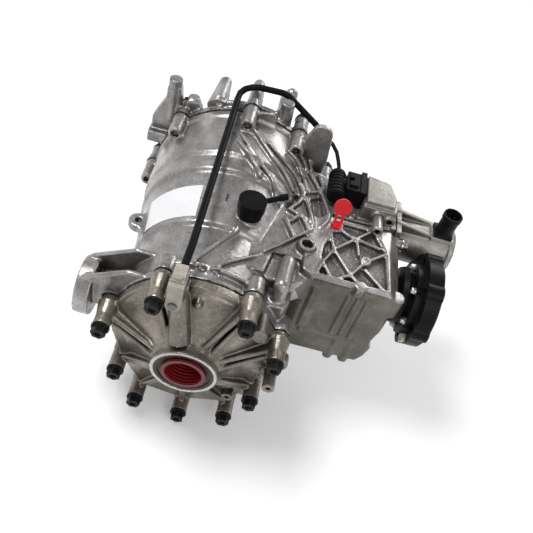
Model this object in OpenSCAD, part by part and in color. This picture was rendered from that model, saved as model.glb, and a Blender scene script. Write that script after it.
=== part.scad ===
// Rear differential with a driven clutch lock, drawn as it comes apart on a bench.
// Lengths are in millimetres. Inside place() the axle runs along Y at x = 0, z = 0.
// The pinion shaft runs along X above it, and its plane is y = 0.
// The near side is -Y, where the output sleeve faces, and the far side is +Y.

/* [Axle and pinion] */
// Height of the pinion axis above the axle axis
pinion_z = 40; // [39:0.5:41]
// Distance from the axle axis to the outer face of the input flange
flange_x = 262; // [258:1:272]
// Distance from the pinion plane to the near joint face of the housing
near_y = 100; // [99:1:104]
// Distance from the pinion plane to the far joint face of the housing
far_y = 168; // [166:1:174]
// Teeth on the crown wheel
crown_teeth = 40; // [36:4:40]
// Teeth on the pinion
pinion_teeth = 11; // [11:2:13]

/* [Housing] */
// Thickness of the cast walls
wall = 8; // [7:0.5:9]
// Radius of the drum at its small near end
drum_r = 97; // [96:0.5:100]
// Radius of the far joint flange
far_flange_r = 118; // [116:0.5:119]
// Radius of the circle of the upper near cover bolts
near_bolt_r = 101; // [100:0.5:103]
// How far the sump hangs below that circle
sump_drop = 19; // [16:1:22]
// Radius of the circle of the far cover bolts
far_bolt_r = 122; // [121:0.5:124]
// Radius of the bolt towers
tower_r = 9.5; // [9:0.25:10.5]
// Length of the bolt towers of the near cover
tower_len = 37; // [34:1:40]
// Height of the ribbed deck above the axle axis
deck_z = 90; // [88:0.5:92]
// Width of the cast ribs
rib_w = 4; // [3.5:0.25:5]
// Width of the thin ribs of the nose's lattice
lattice_w = 3; // [2.5:0.1:3.6]
// Distance from the axle axis to the end face of the nose
nose_x = 213; // [211:0.5:216]
// Distance from the axle axis down to the cast feet
foot_z = 134; // [133:1:140]

/* [Outputs] */
// Radius of the bore of the two side gears
output_bore_r = 15; // [13:0.25:17]
// Outer radius of the output oil seals
seal_r = 33; // [32:0.5:35]
// Inner radius of the lip of the output oil seals
seal_lip_r = 24; // [23:0.25:25]
// Distance from the near joint face to the near seal face
near_boss = 56; // [54:1:60]
// Distance from the far joint face to the far seal face
far_boss = 42; // [40:1:46]

/* [Input flange] */
// Radius of the input flange between its lobes
flange_r = 56; // [54:0.5:60]
// Thickness of the rim of the input flange
flange_t = 20; // [16:1:22]
// Diameter of the bolt circle of the input flange
flange_pcd = 94; // [90:0.5:98]
// Radius of the bolt holes of the input flange
flange_hole_r = 5.2; // [4:0.1:6]

/* [Mounting ear] */
// Outer radius of the ear
ear_r = 33; // [31:0.5:35]
// Radius of the bush seat in the ear
ear_bore_r = 23; // [21:0.5:25]
// Length of the ear along its axis
ear_len = 17; // [16:0.5:22]
// Radius of the bolt bore in the bush sleeve
ear_bolt_r = 7; // [6:0.25:8]

/* [Actuator] */
// Radius of the actuator motor
motor_r = 28; // [26:0.5:30]
// Length of the actuator motor
motor_len = 83; // [78:1:90]
// Travel of the pressure plate
clutch_travel = 1.5; // [1.2:0.1:1.6]

/* [Small parts] */
// Radius of the cap bolts
bolt_r = 5; // [4.5:0.1:5.4]
// Radius of the breather cap
cap_r = 16; // [14:0.5:18]
// Height of the breather cap
cap_h = 22; // [18:1:26]
// Radius of the harness lead
lead_r = 4.2; // [3.5:0.1:4.5]
// Radius of the disc of the red tag plug
tag_r = 10.5; // [9:0.5:12]
// Length of the red sleeve in the near seal
sleeve_len = 30; // [26:1:34]

/* [Hidden] */
$fn = 64;
// Radial clearance of a running fit
fit = 0.04;
// Clearance between pieces that don't bear on each other
gap = 0.3;
// Overrun of a cut past a face
over = 1;
alloy = [0.62, 0.60, 0.57];
alloy_dark = [0.52, 0.50, 0.46];
steel = [0.55, 0.55, 0.57];
black = [0.05, 0.05, 0.055];
red = [0.80, 0.05, 0.07];

// Joint faces and sealant
bead_t = 1;
near_face_y = -near_y;
near_cover_y = near_face_y - bead_t;
far_cover_y = far_y + bead_t;
near_end_y = near_face_y - near_boss;
far_end_y = far_y + far_boss;
boss_r = seal_r + 4.5;
seal_t = 10;
near_ring_r = near_bolt_r - 7;
// Each near bolt: its angle, and how far it lies outside the upper bolt circle
near_bolts = [[117, -4], [168, -2], [216, -5], [245, sump_drop + 1], [272, sump_drop],
    [300, sump_drop - 3], [328, -5], [21, -3], [60, 0]];
sump_bolts = [for (i = [2 : 6]) near_bolts[i]];
far_bolt_angles = [184, 139, 59, 18, 340, 305, 270, 225];
// The tower at this angle has a post behind it in place of a bolt
post_tower_angle = 92;
far_tower_angles = concat(far_bolt_angles, [post_tower_angle]);
// These far towers show an open mouth at their near end
open_tower_angles = [184, 139, 92, 59];
near_flange_t = 11;
near_lug_len = 22;
tower_end_y = near_cover_y - tower_len;
far_tower_y = far_y - 36;
far_flange_t = 11;
far_tower_len = 38;

// Bearings on the axle
journal_r = 26;
cup_r = 42;
bearing_w = 20;
near_bearing_y = near_face_y - 24;
far_bearing_y = far_y - 28;
seat_wall = 8;
trunnion_bore_r = 19.5;

// Differential gears: bevels whose cones meet on the axle at spider_y
spider_y = -30;
side_teeth = 16;
spider_teeth = 10;
side_pitch_r = 32;
spider_pitch_r = 20;
bevel_toe = 0.62;
gear_hub_r = 24;
case_r = 52;
case_cavity_r = 41;
cross_pin_r = 9;
side_back = 26.8;

// Crown wheel and pinion: the teeth of both run along X where they meet
pinion_toe_x = 54;
pinion_heel_x = 84;
mesh_slope = pinion_teeth / crown_teeth;
mesh_add = 2.2;
mesh_ded = 3.2;
crown_back_y = 44;
crown_r = sqrt(pow(pinion_heel_x, 2) + pow(pinion_z, 2));
crown_toe_r = sqrt(pow(pinion_toe_x, 2) + pow(pinion_z, 2));
crown_bolt_r = 76;
case_flange_r = crown_bolt_r + 11;
case_flange_t = 10;

// Clutch and ramp
clutch_y = crown_back_y + case_flange_t;
drum_inner_r = 60;
clutch_drum_r = 66;
clutch_hub_r = 42;
clutch_end_y = 104;
clutch_wall_t = 7;
plate_y = clutch_end_y + clutch_wall_t + clutch_travel + 0.5;
plate_t = 4;
ramp_y = plate_y + plate_t + gap;
ramp_end_y = 131;
ramp_pitch_r = 90;
ramp_bore_r = cup_r + seat_wall;
gear_module = 2;
wheel_teeth = 20;
wheel_pitch_r = wheel_teeth * gear_module / 2;
wheel_z = 50;
wheel_x = sqrt(pow(ramp_pitch_r + wheel_pitch_r, 2) - pow(wheel_z, 2));
wheel_angle = atan2(wheel_z, wheel_x);
wheel_y0 = 119.5;
wheel_y1 = 130.5;
wheel_shaft_r = 5;
motor_y = 88;
drive_teeth = 9;
driven_teeth = 25;
drive_pitch_r = 7;
driven_pitch_r = drive_pitch_r * driven_teeth / drive_teeth;
gear_room_r = 25;

// Pinion bearings and nose
head_x0 = 96;
head_x1 = 116;
head_cup_r = 36;
head_journal_r = 19;
tail_x0 = 180;
tail_x1 = 198;
tail_cup_r = 31;
tail_journal_r = 17;
pinion_seal_x0 = nose_x - 10;
pinion_seal_r = 30;
hub_r = 21;
hub_x0 = tail_x1 + gap;
flange_back_x = flange_x - flange_t;
nose_y = 50;
nose_low_z = -46;
barrel_r = tail_cup_r + wall;
head_barrel_r = head_cup_r + wall;

// Actuator pod and motor
pod_x0 = 130;
pod_x1 = 205;
pod_y0 = 62;
pod_y1 = 120;
pod_top_x0 = 156;
pod_top_x1 = 197;
pod_top_z = 113;
motor_x = pod_x1;
motor_end_x = motor_x + motor_len;
flute_x = [117, 121.5, 157, 168, 179.5];
rotor_r = motor_r - 9;
motor_shaft_r = 5;
lug_y = 56;
lug_z = 68;
pod_screw_x = [137, 148];

// Ear, arm and far bracket
ear_x = -137;
ear_y = -82;
ear_z = 12;
arm_x = ear_x + 3;
arm_web_t = 6;
arm_near_y = -98;
arm_far_y = -60;
// Bored boss of the deck, whose hole stops above the pinion's bearing
deck_boss_x = 97;
deck_boss_y = -12;
deck_boss_z = deck_z + 6;
deck_boss_deep = 11;
breather_x = 25;
breather_y = 4;
breather_z = drum_r + 4;
drain_x = 44;
drain_y = 20;
drain_z = -118;

// Moves what is drawn about the axle so that the origin is the input flange's centre
module place() {
    translate([-flange_x, 0, -pinion_z]) children();
}

// A straight rod along each axis, given where it starts and ends
module rod_x(y, z, x0, x1, r) {
    translate([x0, y, z]) rotate([0, 90, 0]) cylinder(h = x1 - x0, r = r);
}
module rod_y(x, z, y0, y1, r) {
    translate([x, y0, z]) rotate([-90, 0, 0]) cylinder(h = y1 - y0, r = r);
}
module rod_z(x, y, z0, z1, r) {
    translate([x, y, z0]) cylinder(h = z1 - z0, r = r);
}

// A block between two opposite corners
module block(low, high) {
    translate(low) cube(high - low);
}

// A profile of [radius, y] turned about the axle
module about_axle(profile) {
    rotate([-90, 0, 0]) rotate_extrude() polygon(profile);
}

// A profile of [radius, x] turned about the pinion axis
module about_pinion(profile) {
    translate([0, 0, pinion_z]) rotate([0, 90, 0]) rotate_extrude() polygon(profile);
}

// A ring about the axle
module axle_ring(y0, y1, inner, outer) {
    about_axle([[inner, y0], [outer, y0], [outer, y1], [inner, y1]]);
}
module pinion_ring(x0, x1, inner, outer) {
    about_pinion([[inner, x0], [outer, x0], [outer, x1], [inner, x1]]);
}

// A plan drawn in X and Z, made solid along Y
module plate_y(y0, y1) {
    translate([0, y1, 0]) rotate([90, 0, 0]) linear_extrude(y1 - y0) children();
}

// Moves what is drawn round the axle out to a near bolt
module at_near_bolt(b) {
    rotate([0, -b[0], 0]) translate([near_bolt_r + b[1], 0, 0]) children();
}

// Outline of the sump between the lower near bolts
module sump_outline(grow) {
    polygon([for (b = sump_bolts) (near_bolt_r + b[1] + grow) * [cos(b[0]), sin(b[0])]]);
}

// Outline of the near joint: a ring, a lobe at each bolt and the sump
module near_outline(grow) {
    circle(r = near_ring_r + grow);
    for (b = near_bolts) rotate(b[0]) {
        translate([near_bolt_r + b[1], 0]) circle(r = tower_r + 0.8 + grow);
        translate([70, -0.7 * tower_r]) square([near_bolt_r + b[1] - 70, 1.4 * tower_r]);
    }
    sump_outline(3 + grow);
}

// Outline of the far joint: a ring and a lobe at each tower
module far_outline(grow) {
    circle(r = far_flange_r + grow);
    for (a = far_tower_angles) rotate(a) {
        translate([far_bolt_r, 0]) circle(r = tower_r + 0.8 + grow);
        translate([90, -0.7 * tower_r]) square([far_bolt_r - 90, 1.4 * tower_r]);
    }
}

// Turns its children about the axle, from +X towards +Z
module at_angle(a) {
    rotate([0, -a, 0]) children();
}

// A shape drawn in X and Z, made solid along Y
module slab_y(points, y0, y1) {
    translate([0, y1, 0]) rotate([90, 0, 0]) linear_extrude(y1 - y0) polygon(points);
}

// A shape drawn in X and Y, made solid along Z
module slab_z(points, z0, z1) {
    translate([0, 0, z0]) linear_extrude(z1 - z0) polygon(points);
}

// A flat bar from one point of the plan to another
module plan_bar(from, to, w) {
    run = to - from;
    translate(from) rotate(atan2(run[1], run[0])) translate([-w / 2, -w / 2]) square([norm(run) + w, w]);
}
module plan_bars(points, w) {
    for (i = [0 : len(points) - 2]) plan_bar(points[i], points[i + 1], w);
}

// Gap between two bevel teeth: a wedge that narrows towards the meeting point of the cones
module tooth_gap(cone, dist, width, add, ded, toe) {
    lead_in = 1.08;
    top = width / 2 + (add + over) * tan(20);
    root = width / 2 - ded * tan(20);
    shape = [[add + over, top], [-ded, root], [-ded, -root], [add + over, -top]];
    rotate([0, cone, 0]) translate([0, 0, lead_in * dist]) mirror([0, 0, 1])
        linear_extrude(height = (lead_in - toe) * dist, scale = toe / lead_in)
            polygon(shape * lead_in);
}

// A bevel gear on the Z axis whose cone has its tip at the origin
module bevel(teeth, pitch_r, axial, toe, add, ded, rim, bore, back, phase, share = 0.56) {
    cone = atan2(pitch_r, axial);
    dist = norm([pitch_r, axial]);
    heel_tip = [pitch_r + add * cos(cone), axial - add * sin(cone)];
    heel_root = [pitch_r - (ded + rim) * cos(cone), axial + (ded + rim) * sin(cone)];
    toe_tip = heel_tip * toe;
    difference() {
        rotate_extrude() polygon([[bore, toe_tip[1]], toe_tip, heel_tip, heel_root,
            [heel_root[0], back], [bore, back]]);
        for (i = [0 : teeth - 1]) rotate(phase + i * 360 / teeth)
            tooth_gap(cone, dist, share * 2 * PI * pitch_r / teeth, add, ded, toe * 0.85);
    }
}

// Outline of a spur gear with straight flanks
function spur_points(teeth, from, to, pitch_r, add, ded) = [for (i = [from : to])
    let (a = i * 360 / teeth, half = 360 / teeth / 4)
    for (p = [[-half * 1.4, -ded], [-half * 0.48, add], [half * 0.48, add], [half * 1.4, -ded]])
    (pitch_r + p[1]) * [cos(a + p[0]), sin(a + p[0])]];

// A hexagon-headed cap bolt whose head stands on the plane z = 0
module cap_bolt(len, r) {
    head_r = r * 1.65;
    cylinder(h = r * 0.5, r = r * 2);
    translate([0, 0, r * 0.4]) difference() {
        cylinder(h = r * 1.7, r = head_r, $fn = 6);
        translate([0, 0, r * 1.3]) cylinder(h = r, r = r * 0.8);
    }
    translate([0, 0, -len]) cylinder(h = len + r * 0.2, r = r);
}

// Outer surface of the drum, as [radius, y], with a step under the label and two rounded rings
function drum_profile(grow) = [
    [drum_r - 4 + grow, near_face_y + 0.7], [drum_r - 4 + grow, -23], [drum_r + grow, -19],
    [drum_r + 7 + grow, 40], [drum_r + 9 + grow, 56], [drum_r + 13 + grow, 61],
    [drum_r + 13.5 + grow, 66], [drum_r + 12.5 + grow, 74], [drum_r + 13.5 + grow, 83],
    [drum_r + 17 + grow, 88], [drum_r + 17.5 + grow, 94], [drum_r + 18.5 + grow, far_y - 14],
    [drum_r + 18.5 + grow, far_y - 0.7]];

module drum_solid(grow) {
    profile = drum_profile(grow);
    about_axle(concat([[0, near_face_y + 0.7]], profile, [[0, far_y - 0.7]]));
}

// Ribs of the nose deck, as lines in plan
deck_near_left = [112, -47];
deck_lines = [
    [[118, -27], [129, -3], [177, 47]],
    [[129, -3], [151, -36], [163, -48]],
    [[134, -47], [151, -36], [167, -10], [193, 12]],
    [[118, -27], [129, -47]],
    [[131, 34], [145, 25], [183, 17]],
    [[159, -2], [155, 21]],
    [[167, -22], [190, -46]],
    [deck_near_left, [163, -48], [197, -47], [194, 12], [179, 47]],
    [deck_near_left, [118, -27]]];
// Ribs that sweep over the drum from the far towers
sweep_lines = [
    [[-11, 107], [-1, 96], [10, 85], [20, 75], [26, 62]],
    [[-10, 122], [1, 106], [12, 92], [25, 81], [38, 71], [47, 59], [55, 44]],
    [[8, 132], [22, 114], [36, 99], [49, 90], [62, 84], [70, 76]],
    [[11, 137], [24, 122], [38, 112], [52, 104], [66, 99], [77, 91], [84, 75], [80, 58], [70, 42]],
    [[54, 128], [65, 126], [72, 120], [79, 108], [88, 80]],
    [[68, 141], [81, 131], [91, 111], [103, 89]],
    [[81, 152], [91, 138], [100, 115], [108, 94]]];
seam_line = [[-2, -88], [30, -56], [66, -20], [100, 18]];
bar_line = [[-22, -84], [17, -20]];
cross_lines = [[[-34, -83], [56, -83]], [[87, 79], [107, 89]], [[70, 42], [100, 30]], [[84, 75], [80, 58]]];

module deck_block() {
    slab_z([[0, -60], [56, -60], [62, -28], [92, -28], [108, -nose_y], [124, -nose_y],
        [124, 60], [pod_x0, pod_y0], [pod_x0, pod_y1 - 2], [96, 128], [40, 120], [0, 100]],
        30, deck_z - 4);
}

// The nose, wide below and bevelled where its top meets the flange end
module nose_block() {
    intersection() {
        slab_z([[96, -nose_y + 6], [108, -nose_y], [nose_x - 6, -nose_y], [nose_x, -nose_y + 6],
            [nose_x, nose_y - 10], [nose_x - 10, nose_y], [96, nose_y]], nose_low_z - over, deck_z + over);
        slab_y([[95, nose_low_z], [95, deck_z], [nose_x - 16, deck_z], [nose_x, deck_z - 17],
            [nose_x, -22], [nose_x - 12, nose_low_z]], -nose_y - over, nose_y + over);
    }
}

module surface_ribs() {
    intersection() {
        union() {
            for (line = sweep_lines) linear_extrude(160) plan_bars(line, rib_w);
            linear_extrude(160) plan_bars(seam_line, rib_w * 0.8);
            linear_extrude(160) plan_bars(bar_line, rib_w);
            for (line = cross_lines) linear_extrude(160) plan_bars(line, rib_w);
        }
        union() {
            drum_solid(5);
            slab_z([[50, -60], [100, -30], [128, 40], [128, 118], [70, 118], [50, 60]], 30, deck_z + 1.5);
        }
    }
}

module housing_outside() {
    drum_solid(0);
    // Near joint flange, its bolt lugs and the sump behind it
    plate_y(near_face_y, near_face_y + near_flange_t) near_outline(0);
    plate_y(near_face_y + 3, near_face_y + 46) sump_outline(-5);
    for (b = near_bolts) at_near_bolt(b)
        rod_y(0, 0, near_face_y + 2, near_face_y + near_lug_len, tower_r + 0.3);
    // Far joint flange and its bolt towers
    plate_y(far_y - far_flange_t, far_y) far_outline(0);
    for (a = far_tower_angles) at_angle(a) {
        rod_y(far_bolt_r, 0, far_tower_y, far_y - 2, tower_r);
        block([100, far_tower_y + 8, -6], [far_bolt_r, far_y - 3, 6]);
    }
    // Web between two far towers
    slab_y([[-6, 106], [-4, 126], [24, 131.5], [29, 127], [31, 100]], far_y - 9, far_y - 4);
    // Flat lug with a rounded end beside the harness
    rod_y(89, 128, far_y - 21, far_y - 14, 14);
    slab_y([[60, 70], [60, 92], [76, 133], [103, 126], [107, 88], [103, 50]], far_y - 20.5, far_y - 14.5);
    deck_block();
    nose_block();
    surface_ribs();
    // Bored boss and the upright pillar in front of the deck
    rod_z(deck_boss_x, deck_boss_y, 50, deck_boss_z, 10.5);
    rod_z(78, -74, 16, deck_z - 4, 9);
    translate([78, -74, deck_z - 4]) sphere(r = 9);
    slab_z([[60, -88], [86, -88], [92, -76], [92, -40], [62, -40]], 38, 66);
    // Pillars and flutes on the nose's near wall, and the ledge under them
    rod_z(nose_x - 3, -41, 50, 80, 9);
    for (x = flute_x) rod_z(x, -nose_y + 0.6, -3, 72, 3.4);
    block([118, -nose_y - 2.5, -12], [186, -nose_y + 4, -6]);
    for (x = [167, 187]) rod_z(x, -nose_y + 5, nose_low_z - 8, -9, 6.5);
    rod_z(164, -nose_y + 1.5, deck_z - 14, deck_z + 1, 7);
    rod_z(167, -10, 60, deck_z + 2, 6.5);
    // Towers beside the pod
    rod_y(177, deck_z + 6, 36, 70, 7);
    rod_x(lug_y, lug_z, pod_x1 - 18, pod_x1, 7);
    block([pod_x1 - 17, nose_y - 6, lug_z - 5.5], [pod_x1 - 0.4, lug_y, lug_z + 5.5]);
    // Gear room behind the drum
    rod_y(wheel_x, wheel_z, motor_y - 24, ramp_end_y + 6, gear_room_r + wall - 3);
    block([96, motor_y - 24, 24], [pod_x0, pod_y1 - 4, deck_z - 8]);
    // Side lug beside the label
    rod_z(-100, 7, 31, 42, 11.6);
    slab_z([[-78, 36], [-99, 18], [-99, -4], [-78, -26]], 31.6, 41.4);
    // Breather boss
    rod_z(breather_x, breather_y, breather_z - 21, breather_z, 12);
    rod_z(drain_x, drain_y, drain_z, -86, 15);
    arm();
    feet();
}

// The arm that carries the ear: two webs with a pocket between them
module arm() {
    web = [[arm_x, 0], [arm_x, 40], [arm_x + 3, 43], [-82, 70], [-40, 68], [-40, 20], [-92, 4]];
    slab_y(web, arm_near_y, arm_near_y + arm_web_t);
    slab_y(web, arm_far_y - arm_web_t, arm_far_y);
    slab_y([[arm_x, 0], [arm_x, 20], [-70, 40], [-40, 44], [-40, 20], [-92, 4]], arm_near_y + 1, arm_far_y - 1);
    slab_y([[arm_x + 0.6, 2], [arm_x + 0.6, 39], [arm_x + 8, 39], [arm_x + 8, 2]], arm_near_y + 2, arm_far_y - 2);
    rod_x(ear_y, ear_z, ear_x, ear_x + ear_len, ear_r);
    rod_x(ear_y - 2, ear_z - 3, ear_x + 9, -86, 14);
}

// Cast feet under the drum
module feet() {
    for (y = [-86, 128])
        slab_y([[-70, -foot_z], [96, -foot_z], [96, -foot_z + 12], [84, -30], [-60, -30], [-70, -foot_z + 12]],
            y, y + 14);
    for (x = [-62, 10, 78])
        slab_z([[x, -80], [x + 9, -80], [x + 9, 134], [x, 134]], -foot_z + 4, -70);
}

// Room for the crown wheel, the case and the clutch
module housing_inside() {
    about_axle([[0, near_face_y - over], [near_ring_r - 11, near_face_y - over], [near_ring_r - 11, 0],
        [crown_r + 2.5, 8], [crown_r + 2.5, 58], [drum_r + 8, 92], [drum_r + 9, far_y + over],
        [0, far_y + over]]);
    // Pinion bearing seats
    about_pinion([[0, 40], [head_barrel_r, 40], [head_barrel_r, head_x0 + 1],
        [head_cup_r + 0.02, head_x0 + 1], [head_cup_r + 0.02, head_x1], [29, head_x1], [29, tail_x0 - 2],
        [27, tail_x0 - 2], [27, tail_x0], [tail_cup_r + 0.02, tail_x0], [tail_cup_r + 0.02, tail_x1 + 2],
        [pinion_seal_r + 0.02, tail_x1 + 2], [pinion_seal_r + 0.02, nose_x + 10], [0, nose_x + 10]]);
    // Room for the reduction gear and the motor's shaft
    rod_y(wheel_x, wheel_z, motor_y - 18, ramp_end_y + 2, gear_room_r);
    rod_y(wheel_x, wheel_z, motor_y - 22, motor_y - 17, wheel_shaft_r + fit);
    rod_y(wheel_x, wheel_z, ramp_end_y + 1, ramp_end_y + 5, wheel_shaft_r + fit);
    rod_x(motor_y, wheel_z, wheel_x, pod_x0 + over, 11);
}

module main_housing() color(alloy) place() {
    difference() {
        housing_outside();
        housing_inside();
        for (b = near_bolts) at_near_bolt(b)
            rod_y(0, 0, near_face_y - over, near_face_y + near_lug_len - 5, bolt_r + 0.25);
        for (a = far_bolt_angles) at_angle(a)
            rod_y(far_bolt_r, 0, far_y - 26, far_y + over, bolt_r + 0.25);
        for (a = open_tower_angles) at_angle(a)
            rod_y(far_bolt_r, 0, far_tower_y - over, far_tower_y + 6, 4.5);
        // Lattice pockets above the pinion barrel
        difference() {
            slab_z([[114, -46], [194, -46], [190, 12], [173, 43], [133, 43], [118, 0]], 66, deck_z + over);
            linear_extrude(deck_z + 2) {
                for (line = deck_lines) plan_bars(line, lattice_w);
            }
            rod_x(0, pinion_z, 100, 210, barrel_r);
            rod_x(0, pinion_z, 80, head_x1 + 8, head_barrel_r);
            rod_z(167, -10, 60, deck_z + 2, 6.5);
            rod_z(164, -nose_y + 1.5, 60, deck_z + 1, 7);
            rod_z(tag_x, tag_y, 60, deck_z + 2, 9);
        }
        rod_z(tag_x, tag_y, deck_z - 4, deck_z + 3, 6 + fit);
        rod_z(167, -10, deck_z - 8, deck_z + 3, 3.4);
        // Pockets between the sweeping ribs
        slab_z([[94, 75], [106, 82], [113, 47], [103, 42]], deck_z - 10, deck_z + over);
        difference() {
            slab_z([[58, 72], [79, 76], [77, 58], [68, 47], [61, 50]], deck_z - 20, deck_z + 20);
            drum_solid(0.6);
        }
        rod_z(deck_boss_x, deck_boss_y, deck_boss_z - deck_boss_deep, deck_boss_z + over, 6.3);
        rod_y(177, deck_z + 6, 30, 52, 3.4);
        rod_x(lug_y, lug_z, pod_x1 - 13, pod_x1 + over, 4.1);
        rod_x(ear_y, ear_z, ear_x - over, ear_x + ear_len - 5, ear_bore_r);
        rod_x(ear_y, ear_z, ear_x, ear_x + ear_len - 2, ear_bore_r - 4);
        rod_z(-100, 7, 30, 43, 4.2);
        rod_z(breather_x, breather_y, breather_z - 9, breather_z + 3, 5);
        // Open space under the nose, between its walls
        slab_z([[114, -nose_y + wall], [nose_x - wall, -nose_y + wall], [nose_x - wall, nose_y - wall],
            [114, nose_y - wall]], nose_low_z - over, pinion_z - head_barrel_r - 4);
        // The nose's lower corner is cut back under the flange
        rod_y(nose_x + 20, -2, -nose_y - over - 8, nose_y + over, 26);
        slab_y([[nose_x - 10, nose_low_z - over], [nose_x + 2, nose_low_z - over], [nose_x + 2, -22]],
            -nose_y - 8, nose_y + over);
        // Drain hole
        rod_z(drain_x, drain_y, drain_z - over, -70, 9.05);
    }
}

// A rib of the near cover that runs to a bolt tower, set off to one side
module cover_rib(b, off, skew) {
    out = near_bolt_r + b[1] - 7;
    at_angle(b[0]) translate([0, 0, off]) rotate([0, skew, 0]) translate([0, 0, -rib_w / 2])
        linear_extrude(rib_w) polygon([[boss_r - 5, near_cover_y - 6], [boss_r - 5, near_end_y + 9],
            [out, tower_end_y + 13], [out, near_cover_y - 6]]);
}

module near_cover() color(alloy_dark) place() {
    difference() {
        union() {
            plate_y(near_cover_y - near_flange_t, near_cover_y) near_outline(0);
            about_axle([[0, near_cover_y - 0.6], [near_ring_r - 3, near_cover_y - 0.6],
                [near_ring_r - 3, near_cover_y - 9.4], [near_ring_r - 7, near_cover_y - 14],
                [47, near_cover_y - 35], [boss_r + 3, near_cover_y - 41], [boss_r, near_end_y + 8],
                [boss_r - 1, near_end_y], [0, near_end_y]]);
            // Slope over the sump
            intersection() {
                plate_y(near_cover_y - 31, near_cover_y - 5) sump_outline(-4);
                about_axle([[0, near_cover_y - 4], [140, near_cover_y - 4], [140, near_cover_y - 8],
                    [62, near_cover_y - 29], [0, near_cover_y - 29]]);
            }
            for (b = near_bolts) at_near_bolt(b) rod_y(0, 0, tower_end_y, near_cover_y - 3, tower_r);
            for (i = [0, 1, 7, 8]) for (side = [-1, 1])
                cover_rib(near_bolts[i], side * 7, side * 2);
            for (i = [2, 6]) for (side = [-1, 1])
                cover_rib(near_bolts[i], side * 5, side * 1.5);
            for (i = [3, 4, 5]) cover_rib(near_bolts[i], 0, 0);
            // Sensor boss and the small bosses on the face
            translate([-16, near_cover_y - 22, 24]) rotate([0, -7, 0]) cylinder(h = 77, r = 10.5);
            block([-34.5, near_cover_y - 32.4, 84], [-17.5, near_cover_y - 4, 111]);
            at_angle(45) rod_y(near_ring_r - 1, 0, near_cover_y - 30, near_cover_y - 3.3, 8);
            at_angle(312) rod_y(near_ring_r - 12, 0, near_cover_y - 36, near_cover_y - 4.1, 7);
            at_angle(350) rod_y(near_ring_r + 3, 0, near_cover_y - 38, near_cover_y - 5.2, 7.5);
            at_angle(38) rod_y(near_ring_r - 8, 0, near_cover_y - 24, near_cover_y - 6.3, 9);
            at_angle(5) rod_y(near_ring_r + 3, 0, near_cover_y - 20, near_cover_y - 7.4, 13);
        }
        about_axle([[0, near_cover_y + over], [near_ring_r - 12, near_cover_y + over],
            [near_ring_r - 12, near_cover_y - 5], [cup_r + seat_wall, near_cover_y - 25],
            [cup_r + seat_wall, near_cover_y - 3], [cup_r + 0.02, near_cover_y - 3],
            [cup_r + 0.02, near_bearing_y], [seal_r - 5, near_bearing_y],
            [seal_r - 5, near_end_y + seal_t + 1], [seal_r + 0.02, near_end_y + seal_t + 1],
            [seal_r + 0.02, near_end_y - over], [0, near_end_y - over]]);
        for (b = near_bolts) at_near_bolt(b)
            rod_y(0, 0, tower_end_y - over, near_cover_y + over, bolt_r + 0.25);
        at_angle(312) rod_y(near_ring_r - 12, 0, near_cover_y - 37, near_cover_y - 27, 3);
        at_angle(350) rod_y(near_ring_r + 3, 0, near_cover_y - 39, near_cover_y - 28, 3);
    }
}

module far_cover() color(alloy) place() {
    difference() {
        union() {
            plate_y(far_cover_y, far_cover_y + far_flange_t) far_outline(0);
            about_axle([[0, far_cover_y + 0.7], [far_flange_r - 3, far_cover_y + 0.7],
                [far_flange_r - 3, far_cover_y + 9.4], [far_flange_r - 9, far_cover_y + 14],
                [58, far_end_y - 12], [boss_r + 2, far_end_y - 9],
                [boss_r, far_end_y], [0, far_end_y]]);
            for (a = far_bolt_angles) at_angle(a) {
                rod_y(far_bolt_r, 0, far_cover_y + 3, far_cover_y + far_tower_len - 8, tower_r);
                block([96, far_cover_y + 3, -6], [far_bolt_r, far_cover_y + 22, 6]);
            }
            for (a = [12 : 30 : 342]) at_angle(a)
                slab_z([[boss_r - 4, far_cover_y + 4], [boss_r - 4, far_end_y - 4],
                    [far_flange_r - 6, far_cover_y + 18], [far_flange_r - 6, far_cover_y + 4]],
                    -rib_w / 2, rib_w / 2);
            // Round-tipped posts above the joint
            for (a = [113, 92, 74]) at_angle(a) {
                rod_y(far_bolt_r + 3, 0, far_cover_y + 10, far_end_y + 14, 8);
                translate([far_bolt_r + 3, far_end_y + 14, 0]) sphere(r = 8);
                slab_z([[90, far_cover_y + 2], [90, far_cover_y + 30], [far_bolt_r, far_end_y + 8],
                    [far_bolt_r, far_cover_y + 2]], -4, 4);
            }
            rod_z(38, far_cover_y + 12, 92, 140, 9);
            far_bracket();
        }
        about_axle([[0, far_cover_y - over],
            [far_flange_r - 14, far_cover_y - over], [far_flange_r - 14, far_cover_y + 4],
            [58, far_end_y - 22], [seal_r - 5, far_end_y - 22], [seal_r - 5, far_end_y - seal_t - 1],
            [seal_r + 0.02, far_end_y - seal_t - 1], [seal_r + 0.02, far_end_y + over], [0, far_end_y + over]]);
        for (a = far_bolt_angles) at_angle(a)
            rod_y(far_bolt_r, 0, far_cover_y - over, far_cover_y + far_tower_len, bolt_r + 0.25);
        block([18, far_cover_y + 12, 88], [34, far_cover_y + 24, 104]);
    }
    // Sleeve inside the cover that seats the bearing and guides the ramp ring
    difference() {
        axle_ring(ramp_y + 1, far_end_y - 20, trunnion_bore_r + 8, ramp_bore_r);
        axle_ring(ramp_y, far_bearing_y + bearing_w, 0, cup_r + 0.02);
    }
}

// The fork on the far side that answers to the ear
module far_bracket() {
    y0 = far_cover_y + 12;
    slab_y([[-134, 26], [-134, 62], [-118, 96], [-118, 112], [-100, 114], [-97, 86], [-92, 86],
        [-90, 101], [-76, 101], [-62, 70], [-70, 30]], y0, y0 + 16);
    rod_z(-109, y0 + 8, 62, 124, 9);
    rod_z(-83, y0 + 10, 62, 103, 7.5);
    slab_y([[-136, 28], [-136, 44], [-60, 44], [-60, 28]], far_cover_y + 1, y0 + 30);
}

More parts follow.
